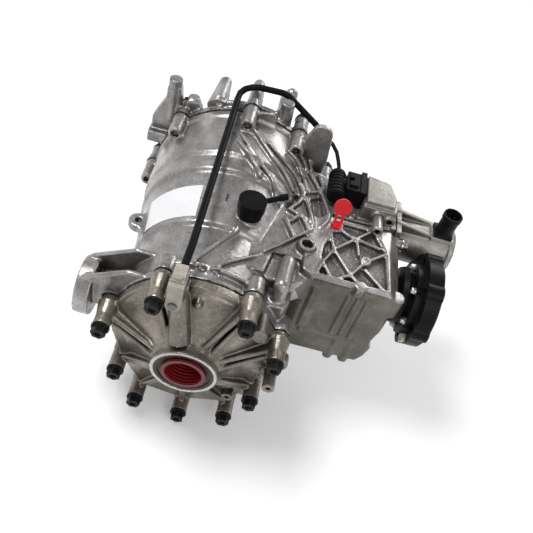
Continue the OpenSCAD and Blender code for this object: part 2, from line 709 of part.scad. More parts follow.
module near_cover_bolts() color(black) place() {
    for (b = near_bolts) at_near_bolt(b) translate([0, tower_end_y, 0])
        rotate([90, 0, 0]) cap_bolt(tower_len + near_lug_len - 7, bolt_r);
}

module far_cover_bolts() color(black) place() {
    for (a = far_bolt_angles) at_angle(a) translate([far_bolt_r, far_cover_y + far_tower_len - 8, 0])
        rotate([-90, 0, 0]) cap_bolt(far_tower_len - 8 + 22, bolt_r);
}

// Beads of sealant, squeezed a little proud of both joints
module near_sealant() color([0.07, 0.07, 0.07]) place() {
    plate_y(near_cover_y, near_face_y) difference() {
        near_outline(0.5);
        circle(r = near_ring_r - 9);
        for (b = near_bolts) rotate(b[0]) translate([near_bolt_r + b[1], 0]) circle(r = bolt_r + 0.5);
    }
}
module far_sealant() color([0.07, 0.07, 0.07]) place() {
    plate_y(far_y, far_cover_y) difference() {
        far_outline(0.7);
        circle(r = far_flange_r - 9);
        for (a = far_bolt_angles) rotate(a) translate([far_bolt_r, 0]) circle(r = bolt_r + 0.5);
    }
}

// An output oil seal: a cased ring with a lip that thins towards the shaft
module near_oil_seal() color(black) place() {
    about_axle([[seal_r, near_end_y + 1], [seal_r, near_end_y + seal_t], [seal_r - 3, near_end_y + seal_t],
        [seal_lip_r + 2, near_end_y + 6], [seal_lip_r + 0.3, near_end_y + 6],
        [seal_lip_r + 0.3, near_end_y + 3.5], [seal_r - 3, near_end_y + 2.6], [seal_r - 3, near_end_y + 1]]);
}
module far_oil_seal() color(black) place() {
    about_axle([[seal_r, far_end_y - 1], [seal_r, far_end_y - seal_t], [seal_r - 3, far_end_y - seal_t],
        [seal_lip_r + 2, far_end_y - 6], [seal_lip_r - 2, far_end_y - 6],
        [seal_lip_r - 2, far_end_y - 3.5], [seal_r - 3, far_end_y - 2.6], [seal_r - 3, far_end_y - 1]]);
}
module pinion_oil_seal() color(black) place() {
    about_pinion([[pinion_seal_r, pinion_seal_x0], [pinion_seal_r, nose_x - 1],
        [pinion_seal_r - 3, nose_x - 1], [hub_r + 2, nose_x - 4], [hub_r + fit, nose_x - 4],
        [hub_r + fit, nose_x - 7], [pinion_seal_r - 3, nose_x - 7], [pinion_seal_r - 3, pinion_seal_x0]]);
}

// Taper-bearing rings: the cup stays in its seat, and the cone turns with its rollers
function roller_r(cup, journal) = (cup - journal) * 0.17;
module cup_profile_ring(y0, y1, cup, journal) {
    mid = (cup + journal) / 2;
    rotate_extrude() polygon([[mid + roller_r(cup, journal) + 2 * fit, y0], [cup, y0], [cup, y1],
        [mid + roller_r(cup, journal) + 2 * fit, y1]]);
}
module cone_with_rollers(y0, y1, cup, journal) {
    mid = (cup + journal) / 2;
    r = roller_r(cup, journal);
    rotate_extrude() polygon([[journal + 0.02, y0], [mid - r + 0.6, y0], [mid - r + 0.6, y1],
        [journal + 0.02, y1]]);
    for (i = [0 : 13]) rotate(i * 360 / 14) translate([mid, 0, y0 + 1.5]) cylinder(h = y1 - y0 - 3, r = r);
}
module near_bearing_cup() color(steel) place() rotate([-90, 0, 0])
    cup_profile_ring(near_bearing_y, near_bearing_y + bearing_w, cup_r, journal_r);
module far_bearing_cup() color(steel) place() rotate([-90, 0, 0])
    cup_profile_ring(far_bearing_y, far_bearing_y + bearing_w, cup_r, journal_r);
module pinion_head_cup() color(steel) place() translate([0, 0, pinion_z]) rotate([0, 90, 0])
    cup_profile_ring(head_x0, head_x1, head_cup_r, head_journal_r);
module pinion_tail_cup() color(steel) place() translate([0, 0, pinion_z]) rotate([0, 90, 0])
    cup_profile_ring(tail_x0, tail_x1, tail_cup_r, tail_journal_r);
module near_bearing_cone() color(steel) place() rotate([-90, 0, 0])
    cone_with_rollers(near_bearing_y, near_bearing_y + bearing_w, cup_r, journal_r);
module far_bearing_cone() color(steel) place() rotate([-90, 0, 0])
    cone_with_rollers(far_bearing_y, far_bearing_y + bearing_w, cup_r, journal_r);
module pinion_head_cone() color(steel) place() translate([0, 0, pinion_z]) rotate([0, 90, 0])
    cone_with_rollers(head_x0, head_x1, head_cup_r, head_journal_r);
module pinion_tail_cone() color(steel) place() translate([0, 0, pinion_z]) rotate([0, 90, 0])
    cone_with_rollers(tail_x0, tail_x1, tail_cup_r, tail_journal_r);

// The ear's bush: rubber moulded round a steel sleeve
bush_wall = 3.5;
module ear_bush_rubber() color(black) place() translate([ear_x + 1, ear_y, ear_z]) rotate([0, 90, 0])
    difference() {
        cylinder(h = ear_len - 7, r = ear_bore_r);
        translate([0, 0, -over]) cylinder(h = ear_len, r = ear_bolt_r + bush_wall);
        for (a = [45 : 90 : 315]) rotate(a) translate([ear_bore_r - 4.5, 0, -over]) cylinder(h = 6, r = 1.6);
    }
module ear_bush_sleeve() color(steel) place() translate([ear_x - 2, ear_y, ear_z]) rotate([0, 90, 0])
    difference() {
        cylinder(h = ear_len - 2, r = ear_bolt_r + bush_wall);
        translate([0, 0, -over]) cylinder(h = ear_len + 2, r = ear_bolt_r);
    }

// Breather: a pipe pressed into its boss and a moulded cap with a hose nozzle
module breather_pipe() color(steel) place() difference() {
    rod_z(breather_x, breather_y, breather_z - 8.7, breather_z + 11, 5);
    rod_z(breather_x, breather_y, breather_z - 11, breather_z + 13, 3);
}
module breather_cap() color(black) place() difference() {
    union() {
        rod_z(breather_x, breather_y, breather_z, breather_z + cap_h * 0.4, cap_r - 1.2);
        rod_z(breather_x, breather_y, breather_z + cap_h * 0.4, breather_z + cap_h, cap_r);
        translate([breather_x, breather_y, breather_z + cap_h * 0.7]) rotate([0, 90, 37]) {
            cylinder(h = 46, r = 3.2);
            translate([0, 0, 38]) cylinder(h = 2.5, r = 4.2);
            translate([0, 0, 42]) cylinder(h = 4, r = 4);
        }
    }
    rod_z(breather_x, breather_y, breather_z - over, breather_z + 12, 5.3);
}

// Speed sensor: a head on the boss, a flat foot down its side, and a cable neck
sensor_y = near_cover_y - 33.2;
module speed_sensor() color([0.70, 0.68, 0.58]) place() difference() {
    union() {
        block([-33.4, sensor_y - 6, 90], [-18, sensor_y, 121]);
        rod_y(-25.8, 90, sensor_y - 6, sensor_y, 7.7);
        block([-32, sensor_y - 1, 112.3], [-19.5, -112.5, 123.5]);
        rod_z(-25.8, sensor_y + 4, 123, 127, 4.5);
    }
    rod_y(-25.8, 91, sensor_y - 8, sensor_y + 1, 2.8);
}
module sensor_screw() color(steel) place() {
    rod_y(-25.8, 91, sensor_y - 6.6, sensor_y - 0.2, 2.5);
    rod_y(-25.8, 91, sensor_y - 8.5, sensor_y - 6, 4.6);
}

// The harness lead: a tube swept along points set by hand, thinner past the lug
lead_points = [[-24.5, -112, 118.4], [-23.4, -80, 121.5], [-25.8, 172, 130.5], [-25, 183, 132.5],
    [-20, 191, 135], [-12, 195, 137.5], [-2, 197, 139], [28, 198, 140], [36, 196.5, 139],
    [44, 193, 136], [80, 178, 121], [87, 174, 117.5], [92, 171, 115.5], [98, 166, 114.3],
    [107, 158, 112.8], [114, 148, 110], [118, 137, 106.5], [120.6, 129.5, 103], [121, 125.5, 101.5], [121, 122, 101.5]];
lead_sides = 10;
thin_from = 12;
lead_thin_r = 2.6;
function lead_dir(i) = let (n = len(lead_points), a = lead_points[max(i - 1, 0)],
    b = lead_points[min(i + 1, n - 1)]) (b - a) / norm(b - a);
function lead_ring(i) = let (d = lead_dir(i), s = cross(d, [0, 0, 1]) / norm(cross(d, [0, 0, 1])),
    u = cross(s, d), r = i < thin_from ? lead_r : lead_thin_r)
    [for (k = [0 : lead_sides - 1]) lead_points[i] + r * (cos(k * 360 / lead_sides) * s
        + sin(k * 360 / lead_sides) * u)];
module harness_lead() color(black) place() {
    n = len(lead_points);
    rings = [for (i = [0 : n - 1]) each lead_ring(i)];
    sides = [for (i = [0 : n - 2], k = [0 : lead_sides - 1]) let (k2 = (k + 1) % lead_sides)
        [i * lead_sides + k, i * lead_sides + k2, (i + 1) * lead_sides + k2, (i + 1) * lead_sides + k]];
    first = [for (k = [lead_sides - 1 : -1 : 0]) k];
    last = [for (k = [0 : lead_sides - 1]) (n - 1) * lead_sides + k];
    polyhedron(points = rings, faces = concat(sides, [first], [last]), convexity = 6);
}

// The ribbed boot and the plug body that it covers
boot_x = 121;
boot_z = 100.5;
module connector_boot() color(black) place() {
    rod_y(boot_x, boot_z, 72, 118, 9.5);
    for (y = [74 : 6 : 112]) rod_y(boot_x, boot_z, y, y + 3.4, 11);
    rod_y(boot_x, boot_z + 1, 117, 121.6, 6);
    rod_x(99, boot_z, boot_x, 132, 9);
}
module pod_connector() color(black) place() difference() {
    union() {
        block([132, 82, 90], [150, 116, 111]);
        block([149, 79, 87], [pod_top_x0, 119, 113]);
        block([135, 88, 110], [146, 110, 114]);
    }
    block([134, 96, 108], [140, 102, 116]);
}

module actuator_pod() color(alloy) place() {
    difference() {
        union() {
            block([pod_x0, pod_y0, 24], [pod_x1, pod_y1, deck_z - 5]);
            block([pod_x0, pod_y0 - 5, deck_z - 9], [pod_x1 - 8, pod_y1 + 3, deck_z - 3.5]);
            slab_z([[pod_top_x0, pod_y0 + 2], [pod_top_x1, pod_y0 + 2], [pod_top_x1 + 3, pod_y0 + 22],
                [pod_top_x1 - 6, pod_y1 - 8], [pod_top_x1 - 12, pod_y1], [pod_top_x0, pod_y1]],
                deck_z - 6, pod_top_z - 6);
            slab_z([[pod_top_x0 + 2, pod_y0 + 6], [pod_top_x1 - 4, pod_y0 + 6], [pod_top_x1 - 2, pod_y0 + 24],
                [pod_top_x1 - 10, pod_y1 - 10], [pod_top_x0 + 2, pod_y1 - 4]], pod_top_z - 7, pod_top_z);
            rod_y(177, 96, pod_y0 - 2, pod_y0 + 14, 9);
            rod_y(192, 94, pod_y0 - 2, pod_y0 + 22, 7.5);
            rod_x(motor_y, wheel_z, pod_x1 - 6, pod_x1, motor_r - 4);
        }
        rod_x(motor_y, wheel_z, pod_x0 - over, pod_x1 + over, 9);
        rod_y(192, 94, pod_y0 - 4, pod_y0 + 10, 3.5);
        rod_y(177, 96, pod_y0 - 10, pod_y0 + 8.3, 7.3);
        for (x = pod_screw_x) rod_z(x, pod_y0 - 0.5, deck_z - 7, deck_z, 2.25);
        rod_x(lug_y, lug_z, pod_x1 - 20, pod_x1 + over, 7.3);
    }
}

module motor_housing() color(alloy_dark) place() {
    difference() {
        union() {
            rod_x(motor_y, wheel_z, motor_x, motor_end_x, motor_r);
            rod_x(motor_y, wheel_z, motor_end_x - 8, motor_end_x - 3, motor_r + 2.5);
            block([motor_x, motor_y - motor_r - 2, wheel_z - motor_r], [motor_x + 7, motor_y + motor_r, 86]);
            slab_y([[motor_x, 66], [motor_x, 88], [motor_x + 48, 80], [motor_x + 66, 78], [motor_x + 66, 66]],
                motor_y - 14, motor_y - 8);
            slab_y([[motor_x, 66], [motor_x, 88], [motor_x + 48, 80], [motor_x + 66, 78], [motor_x + 66, 66]],
                motor_y + 8, motor_y + 14);
            block([motor_x + 48, motor_y - 16, 66], [motor_x + 78, motor_y + 14, 80]);
            rod_x(lug_y, lug_z, motor_x, motor_x + 12, 7);
            block([motor_x, lug_y, lug_z - 5.5], [motor_x + 9, lug_y + 12, lug_z + 5.5]);
        }
        rod_x(motor_y, wheel_z, motor_x + 12, motor_end_x - 7, rotor_r + 1);
        rod_x(motor_y, wheel_z, motor_x - over, motor_x + 13, motor_shaft_r + fit);
        rod_x(motor_y, wheel_z, motor_end_x - 8, motor_end_x - 4, motor_shaft_r + fit);
        rod_x(lug_y, lug_z, motor_x - over, motor_x + 13, 4.1);
    }
}
module motor_connector() color(black) place() difference() {
    union() {
        block([motor_x + 50, motor_y - 15, 80], [motor_x + 74.7, motor_y + 11, 84]);
        block([motor_x + 54, motor_y - 11, 83], [motor_x + 73, motor_y + 7, 112]);
        rod_z(motor_x + 63.5, motor_y - 10, 83, 112, 5);
    }
    block([motor_x + 57, motor_y - 8, 100], [motor_x + 70, motor_y + 4, 113]);
}
module actuator_bolts() color(steel) place() {
    translate([motor_x + 12, lug_y, lug_z]) rotate([0, 90, 0]) cap_bolt(23, 4);
    for (x = pod_screw_x) translate([x, pod_y0 - 0.5, deck_z - 3.5]) cap_bolt(3, 2.2);
}

module drain_plug() color(steel) place() translate([drain_x, drain_y, drain_z]) rotate([180, 0, 0])
    difference() {
        union() {
            translate([0, 0, -14]) cylinder(h = 14, r = 9);
            cylinder(h = 4, r = 12);
        }
        translate([0, 0, -3]) cylinder(h = 8, r = 5.2, $fn = 6);
    }

// A bare label that follows the cone of the drum
label_y0 = -13;
label_y1 = 34;
module part_label() color([0.92, 0.92, 0.92]) place() {
    slope = 7 / 59;
    r0 = drum_r + (label_y0 + 19) * slope;
    r1 = drum_r + (label_y1 + 19) * slope;
    intersection() {
        about_axle([[r0 + 0.16, label_y0], [r0 + 0.5, label_y0], [r1 + 0.5, label_y1], [r1 + 0.16, label_y1]]);
        slab_y([[0, 0], [-60, 170], [-170, 170], [-170, 88]], label_y0 - over, label_y1 + over);
    }
}

// Case that carries the differential gears
module diff_case() color(steel) place() difference() {
    about_axle([[0, near_face_y - 26], [journal_r, near_face_y - 26], [journal_r, near_face_y - 3.6],
        [33, near_face_y - 3.6], [33, -96], [case_r, -84], [case_r, crown_back_y],
        [case_flange_r, crown_back_y], [case_flange_r, clutch_y], [0, clutch_y]]);
    axle_ring(near_face_y - 27, -88, 0, trunnion_bore_r);
    axle_ring(-88.2, clutch_y + over, 0, gear_hub_r + fit);
    axle_ring(spider_y - side_back - gap, spider_y + side_back + gap, 0, case_cavity_r);
    rod_z(0, spider_y, -60, 60, cross_pin_r + 0.02);
    for (i = [0 : 9]) at_angle(i * 36) rod_y(crown_bolt_r, 0, crown_back_y - over, clutch_y + over, 4.25);
}
module case_cover() color(steel) place() difference() {
    about_axle([[drum_inner_r, clutch_y], [case_flange_r, clutch_y], [case_flange_r, clutch_y + 8],
        [clutch_drum_r, clutch_y + 8], [clutch_drum_r, clutch_end_y + clutch_wall_t],
        [33, clutch_end_y + clutch_wall_t], [33, far_bearing_y - 0.3], [journal_r, far_bearing_y - 0.3],
        [journal_r, far_bearing_y + bearing_w + 2], [trunnion_bore_r, far_bearing_y + bearing_w + 2],
        [trunnion_bore_r, clutch_end_y], [drum_inner_r, clutch_end_y]]);
    for (i = [0 : 9]) at_angle(i * 36) rod_y(crown_bolt_r, 0, clutch_y - over, clutch_y + 9, 4.25);
    for (i = [0 : 5]) at_angle(i * 60 + 30)
        rod_y(50, 0, clutch_end_y - over, clutch_end_y + clutch_wall_t + over, 4.4);
}

// Crown wheel: its teeth follow the skewed line on which the pinion meets it
module crown_wheel() color(steel) place() {
    dist = norm([pinion_heel_x, pinion_heel_x * mesh_slope]);
    cone = atan2(1, mesh_slope);
    pitch = 2 * PI * pinion_heel_x / crown_teeth;
    difference() {
        about_axle([[case_r + 0.05, crown_back_y], [case_r + 0.05, pinion_toe_x * mesh_slope + 4],
            [crown_toe_r - 3, pinion_toe_x * mesh_slope + 3],
            [crown_toe_r, pinion_toe_x * mesh_slope - mesh_add * 0.62],
            [crown_r, pinion_heel_x * mesh_slope - mesh_add], [crown_r, crown_back_y - 8],
            [crown_r - 8, crown_back_y]]);
        for (i = [0 : crown_teeth - 1]) rotate([0, i * 360 / crown_teeth, 0]) rotate([-90, 0, 0])
            translate([0, -pinion_z, 0]) tooth_gap(cone, dist, 0.66 * pitch, mesh_add, mesh_ded, 0.5);
        for (i = [0 : 9]) at_angle(i * 36)
            rod_y(crown_bolt_r, 0, crown_back_y - 14, crown_back_y + over, 4.02);
    }
}
module crown_bolts() color(black) place() {
    for (i = [0 : 9]) at_angle(i * 36) translate([crown_bolt_r, clutch_y + 8, 0])
        rotate([-90, 0, 0]) cap_bolt(30, 4);
}
module cross_pin() color(steel) place() rod_z(0, spider_y, -50, 50, cross_pin_r);

plate_pitch = 4.2;
module clutch_steel_plates() color(steel) place() {
    for (i = [0 : 6]) axle_ring(66 + i * plate_pitch, 68.2 + i * plate_pitch, clutch_hub_r + 4, drum_inner_r - 0.02);
}
module clutch_friction_plates() color([0.35, 0.28, 0.20]) place() {
    for (i = [0 : 5]) axle_ring(68.6 + i * plate_pitch, 69.8 + i * plate_pitch, clutch_hub_r + 0.02, drum_inner_r - 4);
}

// Side gears: the far one carries the clutch hub
module near_side_gear() color(steel) place() translate([0, spider_y, 0]) rotate([90, 0, 0]) {
    bevel(side_teeth, side_pitch_r, spider_pitch_r, bevel_toe, 2, 3, 5, output_bore_r, side_back,
        90 + 180 / side_teeth);
    difference() {
        translate([0, 0, side_back - 4]) cylinder(h = 34, r = gear_hub_r);
        translate([0, 0, 10]) cylinder(h = 60, r = output_bore_r);
    }
}
module far_side_gear() color(steel) place() translate([0, spider_y, 0]) rotate([-90, 0, 0]) {
    hub_end = clutch_y + 8 - spider_y;
    bevel(side_teeth, side_pitch_r, spider_pitch_r, bevel_toe, 2, 3, 5, output_bore_r, side_back,
        90 + 180 / side_teeth);
    difference() {
        union() {
            translate([0, 0, side_back - 4]) cylinder(h = hub_end - side_back + 4, r = gear_hub_r);
            translate([0, 0, hub_end - 7.6]) cylinder(h = 7.6, r = clutch_hub_r);
            translate([0, 0, hub_end - 1]) cylinder(h = 34, r = clutch_hub_r);
        }
        translate([0, 0, 10]) cylinder(h = hub_end, r = output_bore_r);
        translate([0, 0, hub_end]) cylinder(h = 40, r = clutch_hub_r - 6);
    }
}

module spider_gear() {
    bevel(spider_teeth, spider_pitch_r, side_pitch_r, bevel_toe, 2, 3, 3, cross_pin_r + fit, 37.9, 90);
}
module upper_spider_gear() color(steel) place() translate([0, spider_y, 0]) spider_gear();
module lower_spider_gear() color(steel) place() translate([0, spider_y, 0]) rotate([180, 0, 0]) spider_gear();

// Pinion shaft with its bevelled head
module pinion_shaft() color(steel) place() translate([0, 0, pinion_z]) rotate([0, 90, 0]) {
    bevel(pinion_teeth, pinion_heel_x * mesh_slope, pinion_heel_x, pinion_toe_x / pinion_heel_x,
        mesh_add, mesh_ded, 1, 0, pinion_heel_x + 3, 90 + 180 / pinion_teeth, 0.6);
    rotate_extrude() polygon([[0, pinion_heel_x], [head_journal_r - 0.5, pinion_heel_x + 0.5],
        [head_journal_r - 0.5, head_x0 - 3], [head_journal_r + 2, head_x0 - 2.5],
        [head_journal_r + 2, head_x0 - 0.05], [head_journal_r, head_x0 - 0.05], [head_journal_r, head_x1 + 1],
        [tail_journal_r, head_x1 + 1], [tail_journal_r, tail_x1], [13, tail_x1], [13, flange_x - 3],
        [0, flange_x - 3]]);
}
module pinion_spacer() color(steel) place()
    pinion_ring(head_x1 + 1.1, tail_x0 - 0.1, tail_journal_r + 0.02, tail_journal_r + 4);

module input_flange() color(black) place() difference() {
    union() {
        about_pinion([[13.02, hub_x0], [hub_r, hub_x0], [hub_r, nose_x + 6], [34, nose_x + 8],
            [36, nose_x + 14], [30, nose_x + 16], [30, flange_back_x - 8.5], [45, flange_back_x - 8.5],
            [45, flange_back_x + 1], [flange_r, flange_back_x + 1], [flange_r, flange_x - 2],
            [flange_r - 2, flange_x], [30, flange_x], [28, flange_x - 6], [22, flange_x - 8],
            [13.02, flange_x - 8]]);
        for (i = [0 : 5]) translate([0, 0, pinion_z]) rotate([i * 60, 0, 0])
            rod_x(flange_pcd / 2, 0, flange_back_x, flange_x - 0.6, 12.5);
    }
    for (i = [0 : 5]) translate([0, 0, pinion_z]) rotate([i * 60, 0, 0])
        rod_x(flange_pcd / 2, 0, flange_back_x - 12, flange_x + over, flange_hole_r);
    for (i = [0 : 5]) translate([0, 0, pinion_z]) rotate([i * 60 + 30, 0, 0])
        rod_x(0, 38, flange_back_x - 9, flange_back_x - 5, 2.45);
}
module flange_nut() color(steel) place() difference() {
    translate([flange_x - 8, 0, pinion_z]) rotate([0, 90, 0]) cylinder(h = 7, r = 21, $fn = 6);
    rod_x(0, pinion_z, flange_x - 9, flange_x, 13.05);
}
module flange_screws() color([0.75, 0.74, 0.70]) place() {
    for (i = [0 : 5]) translate([0, 0, pinion_z]) rotate([i * 60 + 30, 0, 0])
        translate([flange_back_x - 8.5, 0, 38]) rotate([0, -90, 0]) cap_bolt(3, 2.4);
}
module balance_weight() color([0.80, 0.78, 0.62]) place()
    translate([flange_back_x + 1, 0, pinion_z]) rotate([210, 0, 0]) block([-5, 45.4, -6], [0, 55, 6]);

// Ramp ring with a toothed sector towards the reduction gear
module ramp_ring() color(steel) place() {
    teeth = 2 * ramp_pitch_r / gear_module;
    span = 9;
    difference() {
        union() {
            axle_ring(ramp_y, ramp_end_y, ramp_bore_r + 2 * fit, 76);
            at_angle(wheel_angle) translate([0, wheel_y0 + 1, 0]) rotate([-90, 0, 0])
                linear_extrude(wheel_y1 - wheel_y0 - 2)
                polygon(concat([[0, 0]], spur_points(teeth, -span, span, ramp_pitch_r, 1.8, 2.4)));
        }
        axle_ring(ramp_y - over, ramp_end_y + over, 0, ramp_bore_r + 2 * fit);
    }
}

// Pressure plate with pins that reach through the case cover to the clutch
module pressure_plate() color(steel) place() {
    axle_ring(plate_y, plate_y + plate_t, 36, 62);
    for (i = [0 : 5]) at_angle(i * 60 + 30) rod_y(50, 0, 95.8 + clutch_travel, plate_y + 1, 4);
}

// Reduction gear: a spur wheel and a bevel wheel on one shaft
module reduction_gear() color(steel) place() translate([wheel_x, 0, wheel_z]) {
    at_angle(wheel_angle + 180) translate([0, wheel_y0, 0]) rotate([-90, 0, 0])
        linear_extrude(wheel_y1 - wheel_y0)
        polygon(spur_points(wheel_teeth, 0.5, wheel_teeth - 0.5, wheel_pitch_r, 1.8, 2.4));
    rod_y(0, 0, motor_y - 21.5, ramp_end_y + 4.5, wheel_shaft_r);
    translate([0, motor_y, 0]) rotate([90, 0, 0])
        bevel(driven_teeth, driven_pitch_r, drive_pitch_r, 0.6, 1.1, 1.7, 2, wheel_shaft_r - 1, 13, 180 / driven_teeth, 0.63);
}
module motor_rotor() color(steel) place() translate([wheel_x, motor_y, wheel_z]) rotate([0, 90, 0]) {
    bevel(drive_teeth, drive_pitch_r, driven_pitch_r, 0.6, 1.1, 1.7, 1, 0, 24, 270, 0.63);
    translate([0, 0, 22]) cylinder(h = motor_end_x - 4.5 - wheel_x - 22, r = motor_shaft_r);
    translate([0, 0, motor_x + 14 - wheel_x]) cylinder(h = motor_len - 24, r = rotor_r);
}

// Red sleeve that keeps the near seal open
module seal_sleeve() color(red) place() {
    about_axle([[seal_lip_r - 3.5, near_end_y - 1.5], [seal_lip_r + 1, near_end_y - 1.5],
        [seal_lip_r + 1, near_end_y + 0.5], [seal_lip_r, near_end_y + 1.5],
        [seal_lip_r, near_end_y + 12], [trunnion_bore_r + 2.6, near_end_y + sleeve_len - 1.5],
        [trunnion_bore_r, near_end_y + sleeve_len - 1.5], [seal_lip_r - 3.5, near_end_y + 10]]);
}

// Red plug with a round tag
tag_x = 129;
tag_y = 36;
module tag_plug() color(red) place() {
    rod_z(tag_x, tag_y, deck_z - 3.9, deck_z + 2, 6);
    translate([tag_x, tag_y, deck_z]) rotate([-20, 0, 0]) difference() {
        union() {
            block([-5.5, -1.4, 0], [5.5, 1.4, 20]);
            rod_y(0, 24, -1.4, 1.4, tag_r);
        }
        block([-2.2, -3, 6], [2.2, 3, 14]);
    }
}

main_housing();
near_cover();
far_cover();
near_cover_bolts();
far_cover_bolts();
near_sealant();
far_sealant();
near_oil_seal();
far_oil_seal();
pinion_oil_seal();
near_bearing_cup();
far_bearing_cup();
pinion_head_cup();
pinion_tail_cup();
ear_bush_rubber();
ear_bush_sleeve();
breather_pipe();
breather_cap();
speed_sensor();
sensor_screw();
harness_lead();
connector_boot();
pod_connector();
actuator_pod();
motor_housing();
motor_connector();
actuator_bolts();
drain_plug();
part_label();
diff_case();
case_cover();
crown_wheel();
crown_bolts();
cross_pin();
near_bearing_cone();
far_bearing_cone();
clutch_steel_plates();
near_side_gear();
far_side_gear();
clutch_friction_plates();
upper_spider_gear();
lower_spider_gear();
pinion_shaft();
pinion_head_cone();
pinion_tail_cone();
pinion_spacer();
input_flange();
flange_nut();
flange_screws();
balance_weight();
ramp_ring();
pressure_plate();
reduction_gear();
motor_rotor();
seal_sleeve();
tag_plug();
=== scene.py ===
# %% [markdown]
# A rear differential, dressed for its photograph.
#
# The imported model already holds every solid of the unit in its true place.
# This lesson gives those solids their looks. Castings get soft cast edges and a metal skin,
# steel parts get turned or blackened finishes, and rubber, plastic, label and lead get their own.
# Nothing is moved: each new piece is made where the solid it stands for already is.

import math

import bmesh
import bpy
from mathutils import Matrix, Vector


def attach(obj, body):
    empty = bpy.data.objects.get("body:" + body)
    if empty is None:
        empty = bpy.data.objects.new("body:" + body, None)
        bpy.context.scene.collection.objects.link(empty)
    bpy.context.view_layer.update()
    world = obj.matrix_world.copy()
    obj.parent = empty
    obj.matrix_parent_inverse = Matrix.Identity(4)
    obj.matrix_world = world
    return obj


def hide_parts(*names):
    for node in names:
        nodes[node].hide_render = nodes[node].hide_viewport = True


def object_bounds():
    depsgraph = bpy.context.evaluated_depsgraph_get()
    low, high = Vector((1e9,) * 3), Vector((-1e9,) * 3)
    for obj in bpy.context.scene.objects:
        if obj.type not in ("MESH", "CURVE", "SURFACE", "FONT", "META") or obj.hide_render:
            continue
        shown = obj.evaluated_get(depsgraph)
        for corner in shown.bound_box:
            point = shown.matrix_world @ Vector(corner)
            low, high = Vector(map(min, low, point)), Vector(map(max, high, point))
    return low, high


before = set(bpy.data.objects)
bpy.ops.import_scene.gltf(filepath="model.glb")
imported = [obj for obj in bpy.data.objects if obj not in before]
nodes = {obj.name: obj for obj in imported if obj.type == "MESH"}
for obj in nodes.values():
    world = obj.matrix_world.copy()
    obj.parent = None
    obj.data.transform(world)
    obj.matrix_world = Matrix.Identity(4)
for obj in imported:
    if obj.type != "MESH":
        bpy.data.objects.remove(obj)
cad_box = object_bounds()

# %% [markdown]
# The construction drawing measures in millimetres from the axle, at the plane of the pinion.
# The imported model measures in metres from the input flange.
# One small function turns the first into the second, so sizes below read as on the drawing.

# %% From the drawing's millimetres to metres
FLANGE_X = 262
FLANGE_Z = 40


def at(x, y, z):
    return Vector(((x - FLANGE_X) / 1000, y / 1000, (z - FLANGE_Z) / 1000))


print("flange face", tuple(at(FLANGE_X, 0, FLANGE_Z)), "axle", tuple(at(0, 0, 0)))

# %% [markdown]
# The camera comes first, because every later choice is judged through it.
# A camera can be aimed with a constraint, but that leaves its roll to chance.
# The photograph was taken from above the near cover with the camera slightly rolled,
# so its position and its forward and up directions are given, and the matrix is built from them.

# %% Camera of the photograph
PHOTO_PIXELS = 533
FOCAL_PIXELS = 620
SENSOR_WIDTH = 36
camera_place = at(15.5, -505.7, 584.6)
forward = Vector((0.0621, 0.6709, -0.7389)).normalized()
photo_up = Vector((-0.2580, 0.7260, 0.6375))

camera = bpy.data.objects.new("camera", bpy.data.cameras.new("camera"))
bpy.context.collection.objects.link(camera)
side = forward.cross(photo_up).normalized()
over = side.cross(forward)
turn = Matrix((side, over, -forward)).transposed().to_4x4()
camera.matrix_world = Matrix.Translation(camera_place) @ turn
camera.data.sensor_width = SENSOR_WIDTH
camera.data.lens = SENSOR_WIDTH * FOCAL_PIXELS / PHOTO_PIXELS
camera.data.clip_start = 0.01
bpy.context.scene.camera = camera
print("camera at", [round(v, 3) for v in camera.matrix_world.translation])

# %% [markdown]
# Product light is large and soft. One wide lamp high on the left gives the castings their bright
# upper edges, a wide low fill keeps the near side readable, and a third lamp from behind draws
# a light rim. A sun lamp would be simpler, but its shadows are hard.

# %% Lamps
scene = bpy.context.scene
scene.view_settings.view_transform = "Standard"


def soft_lamp(name, place, target, size, watts):
    lamp = bpy.data.lights.new(name, "AREA")
    lamp.shape = "DISK"
    lamp.size = size
    lamp.energy = watts
    holder = bpy.data.objects.new(name, lamp)
    holder.location = place
    holder.rotation_euler = (Vector(target) - Vector(place)).to_track_quat("-Z", "Y").to_euler()
    bpy.context.collection.objects.link(holder)


soft_lamp("key", (-0.95, 0.15, 1.55), (-0.2, 0, -0.05), 0.75, 21)
soft_lamp("fill", (0.5, -1.3, 1.1), (-0.2, 0, -0.1), 0.9, 6)
soft_lamp("rim", (0.5, 1.3, 1.0), (-0.2, 0, 0), 0.7, 8)
print("lamps key, fill and rim placed")

# %% [markdown]
# Bare metal shows whatever surrounds it, so an even white room makes it look like chalk.
# The world is therefore white at the horizon and grey overhead, as under a studio ceiling,
# and the lamps stand out of that grey as highlights. Light Path tells the rays of the eye, of
# reflections and of glass from those that light the part, so the background is white without
# more light on the part.

# %% World
PART_LIGHT = 0.85
WHITE_BELOW = 0.22
GREY_ABOVE = 0.62
CEILING_GREY = (0.36, 0.36, 0.37, 1)


def link(tree, a, b):
    tree.links.new(a, b)


def white_to_the_eye(tree, strength_elsewhere):
    """Strength 1 for camera, glossy and transmission rays, and less for the light on the part."""
    path = tree.nodes.new("ShaderNodeLightPath")
    first = tree.nodes.new("ShaderNodeMath")
    first.operation = "MAXIMUM"
    second = tree.nodes.new("ShaderNodeMath")
    second.operation = "MAXIMUM"
    link(tree, path.outputs["Is Camera Ray"], first.inputs[0])
    link(tree, path.outputs["Is Glossy Ray"], first.inputs[1])
    link(tree, first.outputs[0], second.inputs[0])
    link(tree, path.outputs["Is Transmission Ray"], second.inputs[1])
    blend = tree.nodes.new("ShaderNodeMapRange")
    blend.inputs["To Min"].default_value = strength_elsewhere
    blend.inputs["To Max"].default_value = 1.0
    link(tree, second.outputs[0], blend.inputs["Value"])
    return blend.outputs["Result"]


